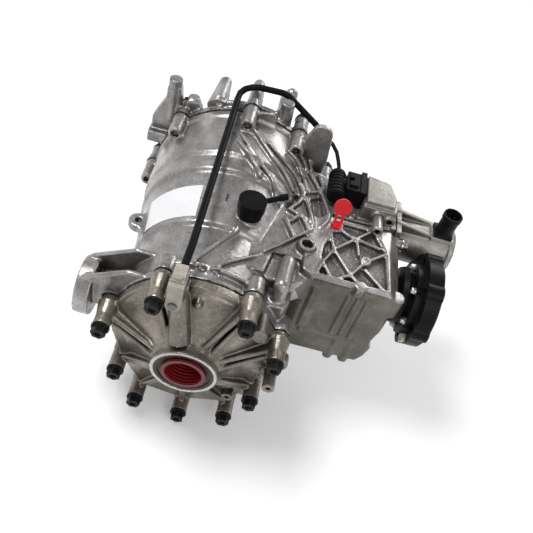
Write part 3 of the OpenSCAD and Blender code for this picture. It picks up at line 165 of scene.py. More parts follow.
world = bpy.data.worlds.new("studio")
scene.world = world
world.use_nodes = True
sky = world.node_tree.nodes["Background"]
sky_way = world.node_tree.nodes.new("ShaderNodeTexCoord")
height = world.node_tree.nodes.new("ShaderNodeSeparateXYZ")
link(world.node_tree, sky_way.outputs["Generated"], height.inputs[0])
ceiling = world.node_tree.nodes.new("ShaderNodeValToRGB")
ceiling.color_ramp.elements[0].position = WHITE_BELOW
ceiling.color_ramp.elements[0].color = (1, 1, 1, 1)
ceiling.color_ramp.elements[1].position = GREY_ABOVE
ceiling.color_ramp.elements[1].color = CEILING_GREY
link(world.node_tree, height.outputs["Z"], ceiling.inputs[0])
link(world.node_tree, ceiling.outputs[0], sky.inputs["Color"])
link(world.node_tree, white_to_the_eye(world.node_tree, PART_LIGHT), sky.inputs["Strength"])
print("world lights the part with strength", PART_LIGHT)

# %% [markdown]
# The unit stands on a plain pale floor at the height of its lowest solid. One large square is
# enough, because its far edge lies outside the photograph.

# %% Floor
FLOOR_HALF = 4
floor_z = cad_box[0].z
bm = bmesh.new()
bmesh.ops.create_grid(bm, x_segments=1, y_segments=1, size=FLOOR_HALF,
                      matrix=Matrix.Translation((0, 0, floor_z)))
floor_mesh = bpy.data.meshes.new("floor")
bm.to_mesh(floor_mesh)
bm.free()
floor = bpy.data.objects.new("floor", floor_mesh)
bpy.context.collection.objects.link(floor)
print("floor at", round(floor_z, 4))

# %% [markdown]
# Every finish below is a small network of shader nodes. Writing each link by hand is long, so a
# helper starts a material, and a second one adds a noise pattern read from Object coordinates.
# Object coordinates are used because they stay fixed to the piece from every side.

# %% Start of a finish and its noise
def start_finish(name):
    made = bpy.data.materials.new(name)
    made.use_nodes = True
    tree = made.node_tree
    shader = tree.nodes["Principled BSDF"]
    where = tree.nodes.new("ShaderNodeTexCoord")
    return made, tree, shader, where


def noise(tree, where, scale, detail=3.0, rough=0.5, stretch=(1, 1, 1)):
    """Noise of about 1/scale metres, from 0 to 1, stretched along the axes."""
    shape = tree.nodes.new("ShaderNodeMapping")
    shape.inputs["Scale"].default_value = stretch
    link(tree, where.outputs["Object"], shape.inputs["Vector"])
    made = tree.nodes.new("ShaderNodeTexNoise")
    made.inputs["Scale"].default_value = scale
    made.inputs["Detail"].default_value = detail
    made.inputs["Roughness"].default_value = rough
    link(tree, shape.outputs[0], made.inputs["Vector"])
    return made.outputs["Fac"]


print("a finish can be started")

# %% [markdown]
# Noise alone is only a number from 0 to 1 at each place. The next helpers turn that number into
# a colour, stretch it to a useful range, or let it choose between two colours.

# %% From numbers to colours and ranges
def ramp(tree, value, low, high, start=0.35, end=0.65):
    """Two colours across a value."""
    made = tree.nodes.new("ShaderNodeValToRGB")
    made.color_ramp.elements[0].position = start
    made.color_ramp.elements[0].color = (*low, 1)
    made.color_ramp.elements[1].position = end
    made.color_ramp.elements[1].color = (*high, 1)
    link(tree, value, made.inputs[0])
    return made.outputs[0]


def spread(tree, value, low, high, start=0.3, end=0.7):
    """A value mapped onto a range."""
    made = tree.nodes.new("ShaderNodeMapRange")
    made.inputs["From Min"].default_value = start
    made.inputs["From Max"].default_value = end
    made.inputs["To Min"].default_value = low
    made.inputs["To Max"].default_value = high
    link(tree, value, made.inputs["Value"])
    return made.outputs[0]


def mix(tree, amount, first, second):
    """Colour first where amount is 0 and second where it is 1."""
    made = tree.nodes.new("ShaderNodeMix")
    made.data_type = "RGBA"
    link(tree, amount, made.inputs[0])
    for value, socket in ((first, made.inputs[6]), (second, made.inputs[7])):
        if isinstance(value, tuple):
            socket.default_value = (*value, 1)
        else:
            link(tree, value, socket)
    return made.outputs[2]


def sums(tree, how, first, second, clamp=True):
    made = tree.nodes.new("ShaderNodeMath")
    made.operation = how
    made.use_clamp = clamp
    for value, socket in ((first, made.inputs[0]), (second, made.inputs[1])):
        if isinstance(value, (int, float)):
            socket.default_value = value
        else:
            link(tree, value, socket)
    return made.outputs[0]


print("numbers can be mixed")

# %% [markdown]
# Real edges are rubbed, and on the castings their lightening is partly that wear and partly a
# painted highlight. A Bevel node knows the rounded normal of an edge, and Ambient Occlusion knows
# how closed in a place is. Both become masks here: the edge mask places wear and painted highlight,
# and the Ambient Occlusion mask places painted shade in corners and pockets, on any shape.

# %% Relief, edges and hollows
def bump(tree, height, depth, strength=1.0, under=None):
    """Relief of that depth in metres."""
    made = tree.nodes.new("ShaderNodeBump")
    made.inputs["Strength"].default_value = strength
    made.inputs["Distance"].default_value = depth
    link(tree, height, made.inputs["Height"])
    if under is not None:
        link(tree, under, made.inputs["Normal"])
    return made.outputs["Normal"]


def soft_edges(tree, radius):
    """Shading normal that rounds sharp edges by that radius."""
    made = tree.nodes.new("ShaderNodeBevel")
    made.samples = 4
    made.inputs["Radius"].default_value = radius
    return made.outputs["Normal"]


def edge_mask(tree, radius, low, high):
    """1 on edges and corners, from the angle between the true and the rounded normal."""
    face = tree.nodes.new("ShaderNodeNewGeometry")
    dot = tree.nodes.new("ShaderNodeVectorMath")
    dot.operation = "DOT_PRODUCT"
    link(tree, face.outputs["Normal"], dot.inputs[0])
    link(tree, soft_edges(tree, radius), dot.inputs[1])
    return spread(tree, dot.outputs["Value"], 1.0, 0.0, low, high)


def hollow_shade_mask(tree, reach):
    """1 deep in corners and pockets, 0 on open faces."""
    # This Ambient Occlusion mask places painted shade in the castings' corners and pockets.
    made = tree.nodes.new("ShaderNodeAmbientOcclusion")
    made.samples = 6
    made.only_local = True
    made.inputs["Distance"].default_value = reach
    return spread(tree, made.outputs["AO"], 1.0, 0.0, 0.25, 0.9)


print("masks for edges and hollows ready")

# %% [markdown]
# Two marks sit at one place only: a pen stroke on the drum, and the knurled floors of the deck's
# pockets. An image could hold them, but a place has coordinates, so each mark is a product of
# masks that are 1 near its middle and fade out at its rim.

# %% Marks that sit at one place
POCKET_FLOOR = 82.5
POCKETS_MIDDLE_X = 155
KNURL_TURN = 38
DASH_PLACE = (-4, 20, 98)
INK_BLUE = (0.012, 0.010, 0.06)


def coordinates(tree, where):
    parts = tree.nodes.new("ShaderNodeSeparateXYZ")
    link(tree, where.outputs["Object"], parts.inputs[0])
    return parts.outputs


def near_value(tree, value, middle, half, fade):
    """1 where a coordinate lies within half of the middle, fading out over fade."""
    away = sums(tree, "SUBTRACT", value, middle, False)
    away = sums(tree, "ABSOLUTE", away, 0.0, False)
    return spread(tree, away, 1.0, 0.0, half, half + fade)


def ink_dash(tree, where):
    """A short pen stroke on the drum."""
    spot = at(*DASH_PLACE)
    parts = coordinates(tree, where)
    across = near_value(tree, parts[0], spot.x, 0.0012, 0.0004)
    along = near_value(tree, parts[1], spot.y, 0.0055, 0.0008)
    top = spread(tree, parts[2], 0.0, 1.0, spot.z - 0.012, spot.z - 0.010)
    dash = sums(tree, "MULTIPLY", sums(tree, "MULTIPLY", across, along), top)
    return sums(tree, "MULTIPLY", dash, spread(tree, noise(tree, where, 900, 2.0), 0.5, 1.0))


def knurl(tree, where):
    """Rows of small pyramids, only on the floors of the deck's pockets."""
    waves = []
    for direction in ("X", "Y"):
        turned = tree.nodes.new("ShaderNodeMapping")
        turned.inputs["Rotation"].default_value = (0, 0, math.radians(KNURL_TURN))
        link(tree, where.outputs["Object"], turned.inputs["Vector"])
        wave = tree.nodes.new("ShaderNodeTexWave")
        wave.bands_direction = direction
        wave.inputs["Scale"].default_value = 125
        link(tree, turned.outputs[0], wave.inputs["Vector"])
        waves.append(wave.outputs["Fac"])
    pattern = sums(tree, "MULTIPLY", waves[0], waves[1])
    parts = coordinates(tree, where)
    floor_height = at(0, 0, POCKET_FLOOR).z
    level = near_value(tree, parts[2], floor_height, 0.0008, 0.0006)
    inside = near_value(tree, parts[0], at(POCKETS_MIDDLE_X, 0, 0).x, 0.042, 0.001)
    return sums(tree, "MULTIPLY", pattern, sums(tree, "MULTIPLY", level, inside))


print("pocket floors at", round(at(0, 0, POCKET_FLOOR).z, 4))

# %% [markdown]
# The floor is matt paper. It glows faintly, but only for the eye, reflections and glass. That
# makes it paler in the picture, and it still keeps the unit's shadow.

# %% Finish of the floor
def set_floor_finish():
    made, tree, shader, where = start_finish("floor_paper")
    shader.inputs["Roughness"].default_value = 0.9
    shader.inputs["Specular IOR Level"].default_value = 0.1
    paper = ramp(tree, noise(tree, where, 3.0), (0.95, 0.95, 0.95), (0.97, 0.97, 0.97))
    link(tree, paper, shader.inputs["Base Color"])
    shader.inputs["Emission Color"].default_value = (1, 1, 1, 1)
    lift = spread(tree, white_to_the_eye(tree, 0.0), 0.0, 0.16, 0.0, 1.0)
    link(tree, lift, shader.inputs["Emission Strength"])
    floor.data.materials.append(made)


set_floor_finish()
print("floor finish", floor.data.materials[0].name)

# %% [markdown]
# Die cast aluminium is never one grey. The skin that touched the mould is smooth and bright,
# thin ribs and edges are lightened, partly as wear from handling and partly as a painted highlight,
# and corners and pockets are darkened as painted shade. One function makes all the castings' finishes.
# It mixes a cloudy grey, a fine grain, edges lightened by wear and painted highlight and hollows
# darkened by painted shade, and each casting gets its own tone of it.

# %% Cast aluminium
def cast_metal(name, light, dark, bright, speck_and_shade, roughness, grain=0.00024, pen_mark=False):
    made, tree, shader, where = start_finish(name)
    clouds = noise(tree, where, 24, 5.0, 0.62)
    streaks = noise(tree, where, 60, 4.0, 0.6, (1, 0.35, 1))
    body = mix(tree, spread(tree, clouds, 0, 1, 0.34, 0.68), dark, light)
    body = mix(tree, spread(tree, streaks, 0, 0.6, 0.45, 0.72), body, dark)
    speckle = noise(tree, where, 420, 2.0, 0.6)
    body = mix(tree, spread(tree, speckle, 0, 0.3, 0.52, 0.75), body, speck_and_shade)
    body = mix(tree, spread(tree, speckle, 0.22, 0, 0.25, 0.46), body, bright)
    # Edges are lightened towards a near-white colour, partly as wear and partly as a painted highlight.
    rubbed = sums(tree, "MULTIPLY", edge_mask(tree, 0.002, 0.82, 0.99),
                  spread(tree, noise(tree, where, 160, 3.0), 0.5, 1.0))
    body = mix(tree, rubbed, body, bright)
    # Painted shade: corners and pockets are darkened towards a near-black colour by Ambient Occlusion.
    painted_hollow_shade = sums(tree, "MULTIPLY", hollow_shade_mask(tree, 0.018), spread(tree, clouds, 0.75, 1.0))
    body = mix(tree, painted_hollow_shade, body, speck_and_shade)
    if pen_mark:
        body = mix(tree, ink_dash(tree, where), body, INK_BLUE)
    link(tree, body, shader.inputs["Base Color"])
    shader.inputs["Metallic"].default_value = 0.72
    gloss = spread(tree, noise(tree, where, 90, 4.0), roughness - 0.07, roughness + 0.12)
    link(tree, gloss, shader.inputs["Roughness"])
    fine = noise(tree, where, 800, 2.0, 0.6)
    pits = noise(tree, where, 230, 3.0, 0.55)
    relief = bump(tree, fine, grain, 0.35)
    relief = bump(tree, pits, grain * 2.4, 0.4, relief)
    relief = bump(tree, knurl(tree, where), 0.0012, 1.0, relief)
    link(tree, relief, shader.inputs["Normal"])
    return made


def machined_metal():
    """Bare faces that a lathe has cut."""
    made, tree, shader, where = start_finish("machined_metal")
    body = mix(tree, spread(tree, noise(tree, where, 300, 3.0), 0, 1), (0.42, 0.41, 0.37), (0.62, 0.61, 0.56))
    link(tree, body, shader.inputs["Base Color"])
    shader.inputs["Metallic"].default_value = 0.8
    shader.inputs["Roughness"].default_value = 0.32
    link(tree, bump(tree, noise(tree, where, 900, 2.0), 0.00006, 0.6), shader.inputs["Normal"])
    return made


drum_metal = cast_metal("drum_metal", (0.455, 0.44, 0.43), (0.20, 0.193, 0.186),
                        (0.88, 0.87, 0.86), (0.035, 0.032, 0.03), 0.30, pen_mark=True)
cover_metal = cast_metal("cover_metal", (0.335, 0.298, 0.258), (0.145, 0.127, 0.106),
                         (0.72, 0.67, 0.60), (0.026, 0.022, 0.018), 0.32)
# The nose's dark olive is partly its rougher skin and partly painted shade.
nose_shaded_metal = cast_metal("nose_shaded_metal", (0.19, 0.185, 0.158), (0.10, 0.096, 0.08),
                        (0.42, 0.405, 0.35), (0.02, 0.019, 0.015), 0.46)
pod_metal = cast_metal("pod_metal", (0.36, 0.345, 0.315), (0.20, 0.19, 0.17),
                       (0.68, 0.66, 0.62), (0.03, 0.028, 0.024), 0.42)
bare_metal = machined_metal()
print("cast finishes", [m.name for m in (drum_metal, cover_metal, nose_shaded_metal, pod_metal)])

# %% [markdown]
# Turned and ground steel shows fine rings or a plain sheen, and blackened steel shows a dark
# satin coat that wears through on its edges. The next helpers cover both, with a colour,
# a roughness and a grain of its own for each part.

# %% Steels
def steel(name, light, dark, roughness, metallic=1.0, worn=None, grain=0.00006, scale=700, gloss=0.5):
    made, tree, shader, where = start_finish(name)
    clouds = noise(tree, where, 45, 4.0, 0.6)
    body = mix(tree, spread(tree, clouds, 0, 1), dark, light)
    if worn is not None:
        rubbed = sums(tree, "MULTIPLY", edge_mask(tree, 0.0008, 0.80, 0.985),
                      spread(tree, noise(tree, where, 240, 3.0), 0.1, 0.9, 0.4, 0.7))
        body = mix(tree, rubbed, body, worn)
    link(tree, body, shader.inputs["Base Color"])
    shader.inputs["Metallic"].default_value = metallic
    shader.inputs["Specular IOR Level"].default_value = gloss
    link(tree, spread(tree, clouds, roughness - 0.06, roughness + 0.1), shader.inputs["Roughness"])
    relief = bump(tree, noise(tree, where, scale, 2.0), grain, 0.5, soft_edges(tree, 0.0006))
    link(tree, relief, shader.inputs["Normal"])
    return made


black_steel = steel("black_steel", (0.012, 0.012, 0.013), (0.004, 0.004, 0.005), 0.36, 0.0,
                    (0.14, 0.135, 0.13), 0.0001, 500, 0.12)
coated_steel = steel("coated_steel", (0.008, 0.008, 0.009), (0.004, 0.004, 0.004), 0.34, 0.0,
                     (0.07, 0.068, 0.065), 0.00012, 420, 0.1)
bright_steel = steel("bright_steel", (0.62, 0.61, 0.59), (0.45, 0.44, 0.42), 0.28)
gear_steel = steel("gear_steel", (0.40, 0.395, 0.385), (0.27, 0.265, 0.26), 0.3)
forged_steel = steel("forged_steel", (0.23, 0.225, 0.22), (0.14, 0.137, 0.133), 0.5,
                     1.0, None, 0.0002, 260)
print("steels ready")

# %% [markdown]
# Rubber and plastic are not metals. Their colour sits under a clear gloss, so the metallic value
# stays at nought and the roughness and a fine mould texture do the work. Where an edge colour is
# given, it is a painted sheen that lightens the edges.

# %% Rubber and plastics
def moulded(name, light, dark, roughness, grain, scale=1200, painted_sheen_edge=None, clouds_scale=60, gloss=0.5):
    made, tree, shader, where = start_finish(name)
    clouds = noise(tree, where, clouds_scale, 4.0, 0.6)
    body = mix(tree, spread(tree, clouds, 0, 1), dark, light)
    if painted_sheen_edge is not None:
        # Painted highlight: edges are lightened towards the sheen colour.
        body = mix(tree, edge_mask(tree, 0.0007, 0.82, 0.99), body, painted_sheen_edge)
    link(tree, body, shader.inputs["Base Color"])
    shader.inputs["Specular IOR Level"].default_value = gloss
    link(tree, spread(tree, clouds, roughness - 0.06, roughness + 0.08), shader.inputs["Roughness"])
    relief = bump(tree, noise(tree, where, scale, 2.0), grain, 0.5, soft_edges(tree, 0.0005))
    link(tree, relief, shader.inputs["Normal"])
    return made


black_plastic = moulded("black_plastic", (0.007, 0.007, 0.008), (0.003, 0.003, 0.004), 0.4, 0.00008,
                        1400, (0.030, 0.030, 0.031), 60, 0.1)
cap_plastic = moulded("cap_plastic", (0.005, 0.005, 0.006), (0.002, 0.002, 0.002), 0.40, 0.0001, 1600,
                      (0.020, 0.020, 0.021), 60, 0.09)
rubber = moulded("rubber", (0.008, 0.008, 0.008), (0.004, 0.004, 0.004), 0.5, 0.00012, 900,
                 (0.02, 0.02, 0.02), 60, 0.1)
conduit_black = moulded("conduit_black", (0.005, 0.005, 0.005), (0.002, 0.002, 0.002), 0.42, 0.00015, 420,
                        None, 60, 0.1)
seal_face = moulded("seal_face", (0.085, 0.08, 0.07), (0.006, 0.006, 0.006), 0.5, 0.0003, 800, None, 520, 0.3)
sealant_black = moulded("sealant_black", (0.008, 0.008, 0.008), (0.003, 0.003, 0.003), 0.34, 0.0006, 130,
                        None, 60, 0.3)
red_plastic = moulded("red_plastic", (0.74, 0.006, 0.012), (0.56, 0.003, 0.008), 0.36, 0.00006, 1500,
                      (0.95, 0.10, 0.10), 60, 0.4)
sensor_plastic = moulded("sensor_plastic", (0.42, 0.395, 0.34), (0.27, 0.25, 0.21), 0.5, 0.00012, 1200,
                         (0.60, 0.57, 0.50), 110, 0.4)
weight_paint = moulded("weight_paint", (0.66, 0.63, 0.50), (0.48, 0.46, 0.36), 0.5, 0.00015, 600, None, 200)
label_film = moulded("label_film", (0.80, 0.80, 0.81), (0.72, 0.72, 0.735), 0.42, 0.00035, 70, None, 26, 0.35)
friction_lining = moulded("friction_lining", (0.20, 0.13, 0.08), (0.12, 0.08, 0.05), 0.8, 0.0003, 500)
print("plastics ready")

# %% [markdown]
# The sleeve in the near output is a thin red plastic guard whose inside shows fine turned rings.
# Each ring could be cut into the mesh, but they are too fine to change its outline. A wave texture
# with bands along the axle darkens them and raises them as relief.

# %% Ringed red guard
def ringed_guard():
    made, tree, shader, where = start_finish("ringed_guard")
    shape = tree.nodes.new("ShaderNodeMapping")
    shape.inputs["Location"].default_value = -at(0, 0, 0)
    link(tree, where.outputs["Object"], shape.inputs["Vector"])
    wave = tree.nodes.new("ShaderNodeTexWave")
    wave.wave_type = "BANDS"
    wave.bands_direction = "Y"
    wave.inputs["Scale"].default_value = 80
    wave.inputs["Distortion"].default_value = 0.6
    link(tree, shape.outputs[0], wave.inputs["Vector"])
    body = mix(tree, wave.outputs["Fac"], (0.07, 0.002, 0.003), (0.36, 0.014, 0.02))
    link(tree, body, shader.inputs["Base Color"])
    shader.inputs["Roughness"].default_value = 0.34
    link(tree, bump(tree, wave.outputs["Fac"], 0.0006, 0.8), shader.inputs["Normal"])
    return made


guard_red = ringed_guard()
print("guard finish", guard_red.name)

# %% [markdown]
# Now the castings. The solids have sharp machined corners everywhere, but a casting has a fillet
# at every inside corner and a small round on every edge. Beveling such a mesh edge by edge fails
# where ribs cross. A voxel remesh instead rebuilds the whole skin as an even net, and a few
# rounds of smoothing then melt each corner by about a millimetre. A decimation brings the count
# back down, because broad smooth faces need few triangles.

# %% Turn a solid into a casting
def copied(node):
    """A merged copy of a node's mesh in a bmesh."""
    bm = bmesh.new()
    bm.from_mesh(nodes[node].data)
    bmesh.ops.remove_doubles(bm, verts=bm.verts, dist=1e-6)
    return bm


def as_object(bm, name):
    mesh = bpy.data.meshes.new(name)
    bm.to_mesh(mesh)
    bm.free()
    made = bpy.data.objects.new(name, mesh)
    bpy.context.collection.objects.link(made)
    return made


def apply_modifiers(piece):
    deps = bpy.context.evaluated_depsgraph_get()
    mesh = bpy.data.meshes.new_from_object(piece.evaluated_get(deps))
    piece.modifiers.clear()
    old = piece.data
    piece.data = mesh
    bpy.data.meshes.remove(old)


def net_over(piece, voxel):
    """Rebuilds the whole skin as an even net."""
    net = piece.modifiers.new("net", "REMESH")
    net.mode = "VOXEL"
    net.voxel_size = voxel


def smooth_and_dress(piece, finish):
    for face in piece.data.polygons:
        face.use_smooth = True
    piece.data.materials.clear()
    piece.data.materials.append(finish)


def casting(name, node, body, finish, voxel=0.0013, rounds=5, keep=180000, add=None):
    bm = copied(node)
    if add is not None:
        add(bm)
    piece = as_object(bm, name)
    net_over(piece, voxel)
    melt = piece.modifiers.new("melt", "SMOOTH")
    melt.factor = 0.5
    melt.iterations = rounds
    apply_modifiers(piece)
    dense = len(piece.data.polygons) * 2
    if dense > keep:
        thin = piece.modifiers.new("thin", "DECIMATE")
        thin.ratio = keep / dense
        apply_modifiers(piece)
    smooth_and_dress(piece, finish)
    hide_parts(node)
    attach(piece, body)
    print(name, "dense", dense, "kept", len(piece.data.polygons))
    return piece


print("solids can be turned into castings")

# %% [markdown]
# A sharp rib melts away to almost nothing in such a net, while the real ribs have full round
# crests that catch the light. So before the net is made, round beads are laid along the ribs'
# top edges. They overlap the rib, and the net joins both into one skin.

# %% Bars, balls and beads that the net joins
def rod(bm, start, end, radius, end_radius=None):
    """A closed round bar between two places of the drawing."""
    low, high = at(*start), at(*end)
    run = high - low
    turn = run.to_track_quat("Z", "Y").to_matrix().to_4x4()
    last = radius if end_radius is None else end_radius
    bmesh.ops.create_cone(bm, cap_ends=True, segments=16, radius1=radius / 1000, radius2=last / 1000,
                          depth=run.length, matrix=Matrix.Translation((low + high) / 2) @ turn)


def ball(bm, centre, radius):
    bmesh.ops.create_icosphere(bm, subdivisions=2, radius=radius / 1000,
                               matrix=Matrix.Translation(at(*centre)))


def bead(bm, places, radius):
    for start, end in zip(places, places[1:]):
        rod(bm, start, end, radius)
    for place in places:
        ball(bm, place, radius)


print("bars and beads ready")

# %% [markdown]
# Where a casting is thicker than its solid, it gets a flat block or part of a ring instead.
# Both start as one face. The block's face is extruded, and the ring's is spun about the axle.

# %% Plates, walls and bands
def join(bm, made):
    """Adds one bmesh to another."""
    carrier = bpy.data.meshes.new("carrier")
    made.to_mesh(carrier)
    made.free()
    bm.from_mesh(carrier)
    bpy.data.meshes.remove(carrier)


def block(bm, corners, step):
    """A flat face made solid by one step in metres."""
    made = bmesh.new()
    face = made.faces.new([made.verts.new(corner) for corner in corners])
    grown = bmesh.ops.extrude_face_region(made, geom=[face])["geom"]
    moved = [v for v in grown if isinstance(v, bmesh.types.BMVert)]
    bmesh.ops.translate(made, verts=moved, vec=step)
    bmesh.ops.recalc_face_normals(made, faces=made.faces)
    join(bm, made)


def plate(bm, outline, low, high):
    """A flat shape drawn in plan, made solid from one height to another."""
    block(bm, [at(x, y, low) for x, y in outline], (0, 0, (high - low) / 1000))


def wall(bm, outline, near, far):
    """A flat shape drawn in the plane of the joint faces, made solid along the axle."""
    block(bm, [at(x, near, z) for x, z in outline], (0, (far - near) / 1000, 0))


def band(bm, inner, outer, start_y, end_y, from_angle, to_angle):
    """Part of a ring about the axle, with angles from +X towards +Z."""
    made = bmesh.new()
    way = Vector((math.cos(math.radians(from_angle)), 0, math.sin(math.radians(from_angle))))
    corners = ((inner, start_y), (outer, start_y), (outer, end_y), (inner, end_y))
    face = made.faces.new([made.verts.new(at(way.x * r, y, way.z * r)) for r, y in corners])
    geom = [face, *face.edges, *face.verts]
    bmesh.ops.spin(made, geom=geom, cent=at(0, 0, 0), axis=(0, -1, 0), steps=24,
                   angle=math.radians(to_angle - from_angle), use_duplicate=False)
    bmesh.ops.recalc_face_normals(made, faces=made.faces)
    join(bm, made)


print("plates, walls and bands ready")

# %% [markdown]
# The ribs lie on a drum that grows in steps, so a crest has to know how high the drum is.
# The drum's outline is given as pairs of place along the axle and radius, and the height of a
# point in plan follows from the circle there.

# %% Height of the drum and crests over it
drum_outline = [(-99, 93), (-23, 93), (-19, 97), (40, 104), (56, 106), (61, 110), (66, 110.5), (74, 109.5),
                (83, 110.5), (88, 114), (94, 114.5), (154, 115.5), (168, 115.5)]
RIB_HEIGHT = 5
DECK_TOP = 91.5
CREST_SINK = 0.6


def drum_radius(y):
    for (y0, r0), (y1, r1) in zip(drum_outline, drum_outline[1:]):
        if y0 <= y <= y1:
            return r0 + (r1 - r0) * (y - y0) / (y1 - y0)
    return drum_outline[-1][1]


def on_slab(x, y):
    """Whether a rib stands on the deck's slab there, and not on the drum."""
    return 50 < x < 128 and y < 118 and y < 60 + (x - 50) * 2.9 and y > -60 + (x - 50) * 0.6


def rib_top(x, y):
    reach = (drum_radius(y) + RIB_HEIGHT) ** 2 - x * x
    drum_top = math.sqrt(reach) if reach > 0 else 0
    return max(drum_top, DECK_TOP) if on_slab(x, y) else drum_top


def crest(bm, line, radius, step=5):
    places = []
    for (x0, y0), (x1, y1) in zip(line, line[1:]):
        count = max(1, round(math.hypot(x1 - x0, y1 - y0) / step))
        for i in range(count):
            x, y = x0 + (x1 - x0) * i / count, y0 + (y1 - y0) * i / count
            places.append((x, y, rib_top(x, y) - radius * CREST_SINK))
    x, y = line[-1]
    places.append((x, y, rib_top(x, y) - radius * CREST_SINK))
    bead(bm, places, radius)


sweep_lines = [
    [(-11, 107), (-1, 96), (10, 85), (20, 75), (26, 62)],
    [(-10, 122), (1, 106), (12, 92), (25, 81), (38, 71), (47, 59), (55, 44)],
    [(8, 132), (22, 114), (36, 99), (49, 90), (62, 84), (70, 76)],
    [(11, 137), (24, 122), (38, 112), (52, 104), (66, 99), (77, 91), (84, 75), (80, 58), (70, 42)],
    [(54, 128), (65, 126), (72, 120), (79, 108), (88, 80)],
    [(68, 141), (81, 131), (91, 111), (103, 89)],
    [(81, 152), (91, 138), (100, 115), (108, 94)]]
plain_lines = [[(-2, -86), (30, -56), (66, -20), (100, 18)], [(-22, -84), (17, -20)],
               [(-34, -83), (56, -83)], [(87, 79), (107, 89)], [(70, 42), (100, 30)], [(84, 75), (80, 58)]]
deck_lines = [
    [(118, -27), (129, -3), (177, 47)], [(129, -3), (151, -36), (163, -48)],
    [(134, -47), (151, -36), (167, -10), (193, 12)], [(118, -27), (129, -47)],
    [(131, 34), (145, 25), (183, 17)], [(159, -2), (155, 21)], [(167, -22), (190, -46)],
    [(112, -47), (163, -48), (197, -47), (194, 12), (179, 47)], [(112, -47), (118, -27)]]
print("rib lines", len(sweep_lines) + len(plain_lines) + len(deck_lines))

# %% [markdown]
# The main casting carries two finishes. Its drum is bright, and its nose wall below the deck is a
# rougher, dull olive grey on the faces turned to the near side, where its darkness is painted shade.
# The floors of the deck's pockets are raised to where the photograph shows them,
# and the ribs there, the sweeping ribs and the arm's webs get their crests.

# %% Main housing
LATTICE_CREST_Z = 88.9
LATTICE_CREST_R = 2.1
NOSE_FROM_X = 100
NOSE_BELOW_Z = 84
NOSE_SIDE_Y = -38
extra_ribs = [[(87, 69), (96, 43), (101, 24)], [(106, 84), (114, 65), (118, 50), (117, 39), (110, 25)],
              [(74, 23), (85, 39), (96, 17)], [(67, 25), (80, 1)]]


def housing_forms(bm):
    for line in extra_ribs:
        for z in (87.4, 90.2):
            bead(bm, [(x, y, z) for x, y in line], 2.5)
    for z in (85, LATTICE_CREST_Z):
        bead(bm, [(123, 25, z), (129, -5, z)], LATTICE_CREST_R)
    for line in sweep_lines:
        crest(bm, line, 2.7)
    for line in plain_lines:
        crest(bm, line, 2.2)
    for line in deck_lines:
        bead(bm, [(x, y, LATTICE_CREST_Z) for x, y in line], LATTICE_CREST_R)
    plate(bm, [(115, -45), (194, -45), (190, 11), (173, 42), (133, 42), (119, 0)], 70, POCKET_FLOOR)
    for y in (-95, -63):
        bead(bm, [(-130, y, 40), (-82, y, 67.5), (-40, y, 66)], 3.3)
    band(bm, 90, 101, -88.5, -83, 57, 84)
    band(bm, 90, 101, -88.5, -83, 98, 119)
    plate(bm, [(58, -64), (86, -64), (112, -47), (116, -30), (58, -28)], 45, 80)
    bead(bm, [(78, -74, 86), (80, -40, 87)], 9)


drum_housing = casting("drum_housing", "main_housing", "housing", drum_metal,
                       0.0014, 4, 190000, housing_forms)
drum_housing.data.materials.append(nose_shaded_metal)
# Only nose faces turned towards the near side take the dark olive finish: painted shade on that side.
for face in drum_housing.data.polygons:
    where_mm = (face.center - at(0, 0, 0)) * 1000
    on_nose = where_mm.x > NOSE_FROM_X and where_mm.z < NOSE_BELOW_Z and where_mm.y < NOSE_SIDE_Y
    if on_nose and face.normal.y < -0.5:
        face.material_index = 1
print("nose faces", sum(1 for f in drum_housing.data.polygons if f.material_index == 1))

# %% [markdown]
# The near cover is the darkest casting. Each of its ribs runs from the hub to a bolt tower, and
# the crest follows the rib's sloping top. The hub's face round the seal is cut on a lathe, so its
# faces get the bare metal.

# %% Near cover
HUB_FACE_Y = -156
HUB_FACE_REACH = 0.0012
near_ribs = [(117, 90, 7, 2), (168, 92, 7, 2), (21, 91, 7, 2), (60, 94, 7, 2), (216, 89, 5, 1.5),
             (328, 89, 5, 1.5)]
sump_ribs = [(245, 114), (272, 113), (300, 110)]


def around(angle, r):
    """X and Z of a place at that angle and distance from the axle."""
    return r * math.cos(math.radians(angle)), r * math.sin(math.radians(angle))


def cover_crest(bm, angle, out, off, skew):
    turn, lean = math.radians(angle), math.radians(skew)
    places = []
    for r, y in ((37, -143.4), (out, -123.6)):
        along, across = r * math.cos(lean), off - r * math.sin(lean)
        places.append((along * math.cos(turn) - across * math.sin(turn), y,
                       along * math.sin(turn) + across * math.cos(turn)))
    bead(bm, places, 3.1)


def near_cover_forms(bm):
    for angle, out, off, skew in near_ribs:
        for side_of in (-1, 1):
            cover_crest(bm, angle, out, side_of * off, side_of * skew)
    for angle, out in sump_ribs:
        cover_crest(bm, angle, out, 0, 0)
    for angle, r in ((117, 97), (168, 99), (21, 98), (60, 101)):
        x, z = around(angle, r)
        rod(bm, (x, -107, z), (x, -125, z), 13, 9.6)
    rod(bm, (-24, -121, 96), (-12, -142, 37), 9.5, 12)
    bead(bm, [(-2.3, -116, 80), (-2.3, -121, 79)], 5)
    bead(bm, [(6, -118, 71), (26, -123, 52), (40, -117, 66)], 2.4)
    skirt = [(168, 92), (192, 88), (216, 93), (245, 116), (272, 115), (300, 112), (328, 93), (350, 84),
             (340, 50), (270, 45), (200, 50)]
    wall(bm, [around(angle, r) for angle, r in skirt], -121, -104)
    bead(bm, [(x, -118.5, z) for x, z in (around(angle, r - 2.5) for angle, r in skirt[:8])], 3)
    band(bm, 33.6, 37.5, -156.4, -150, 0, 360)


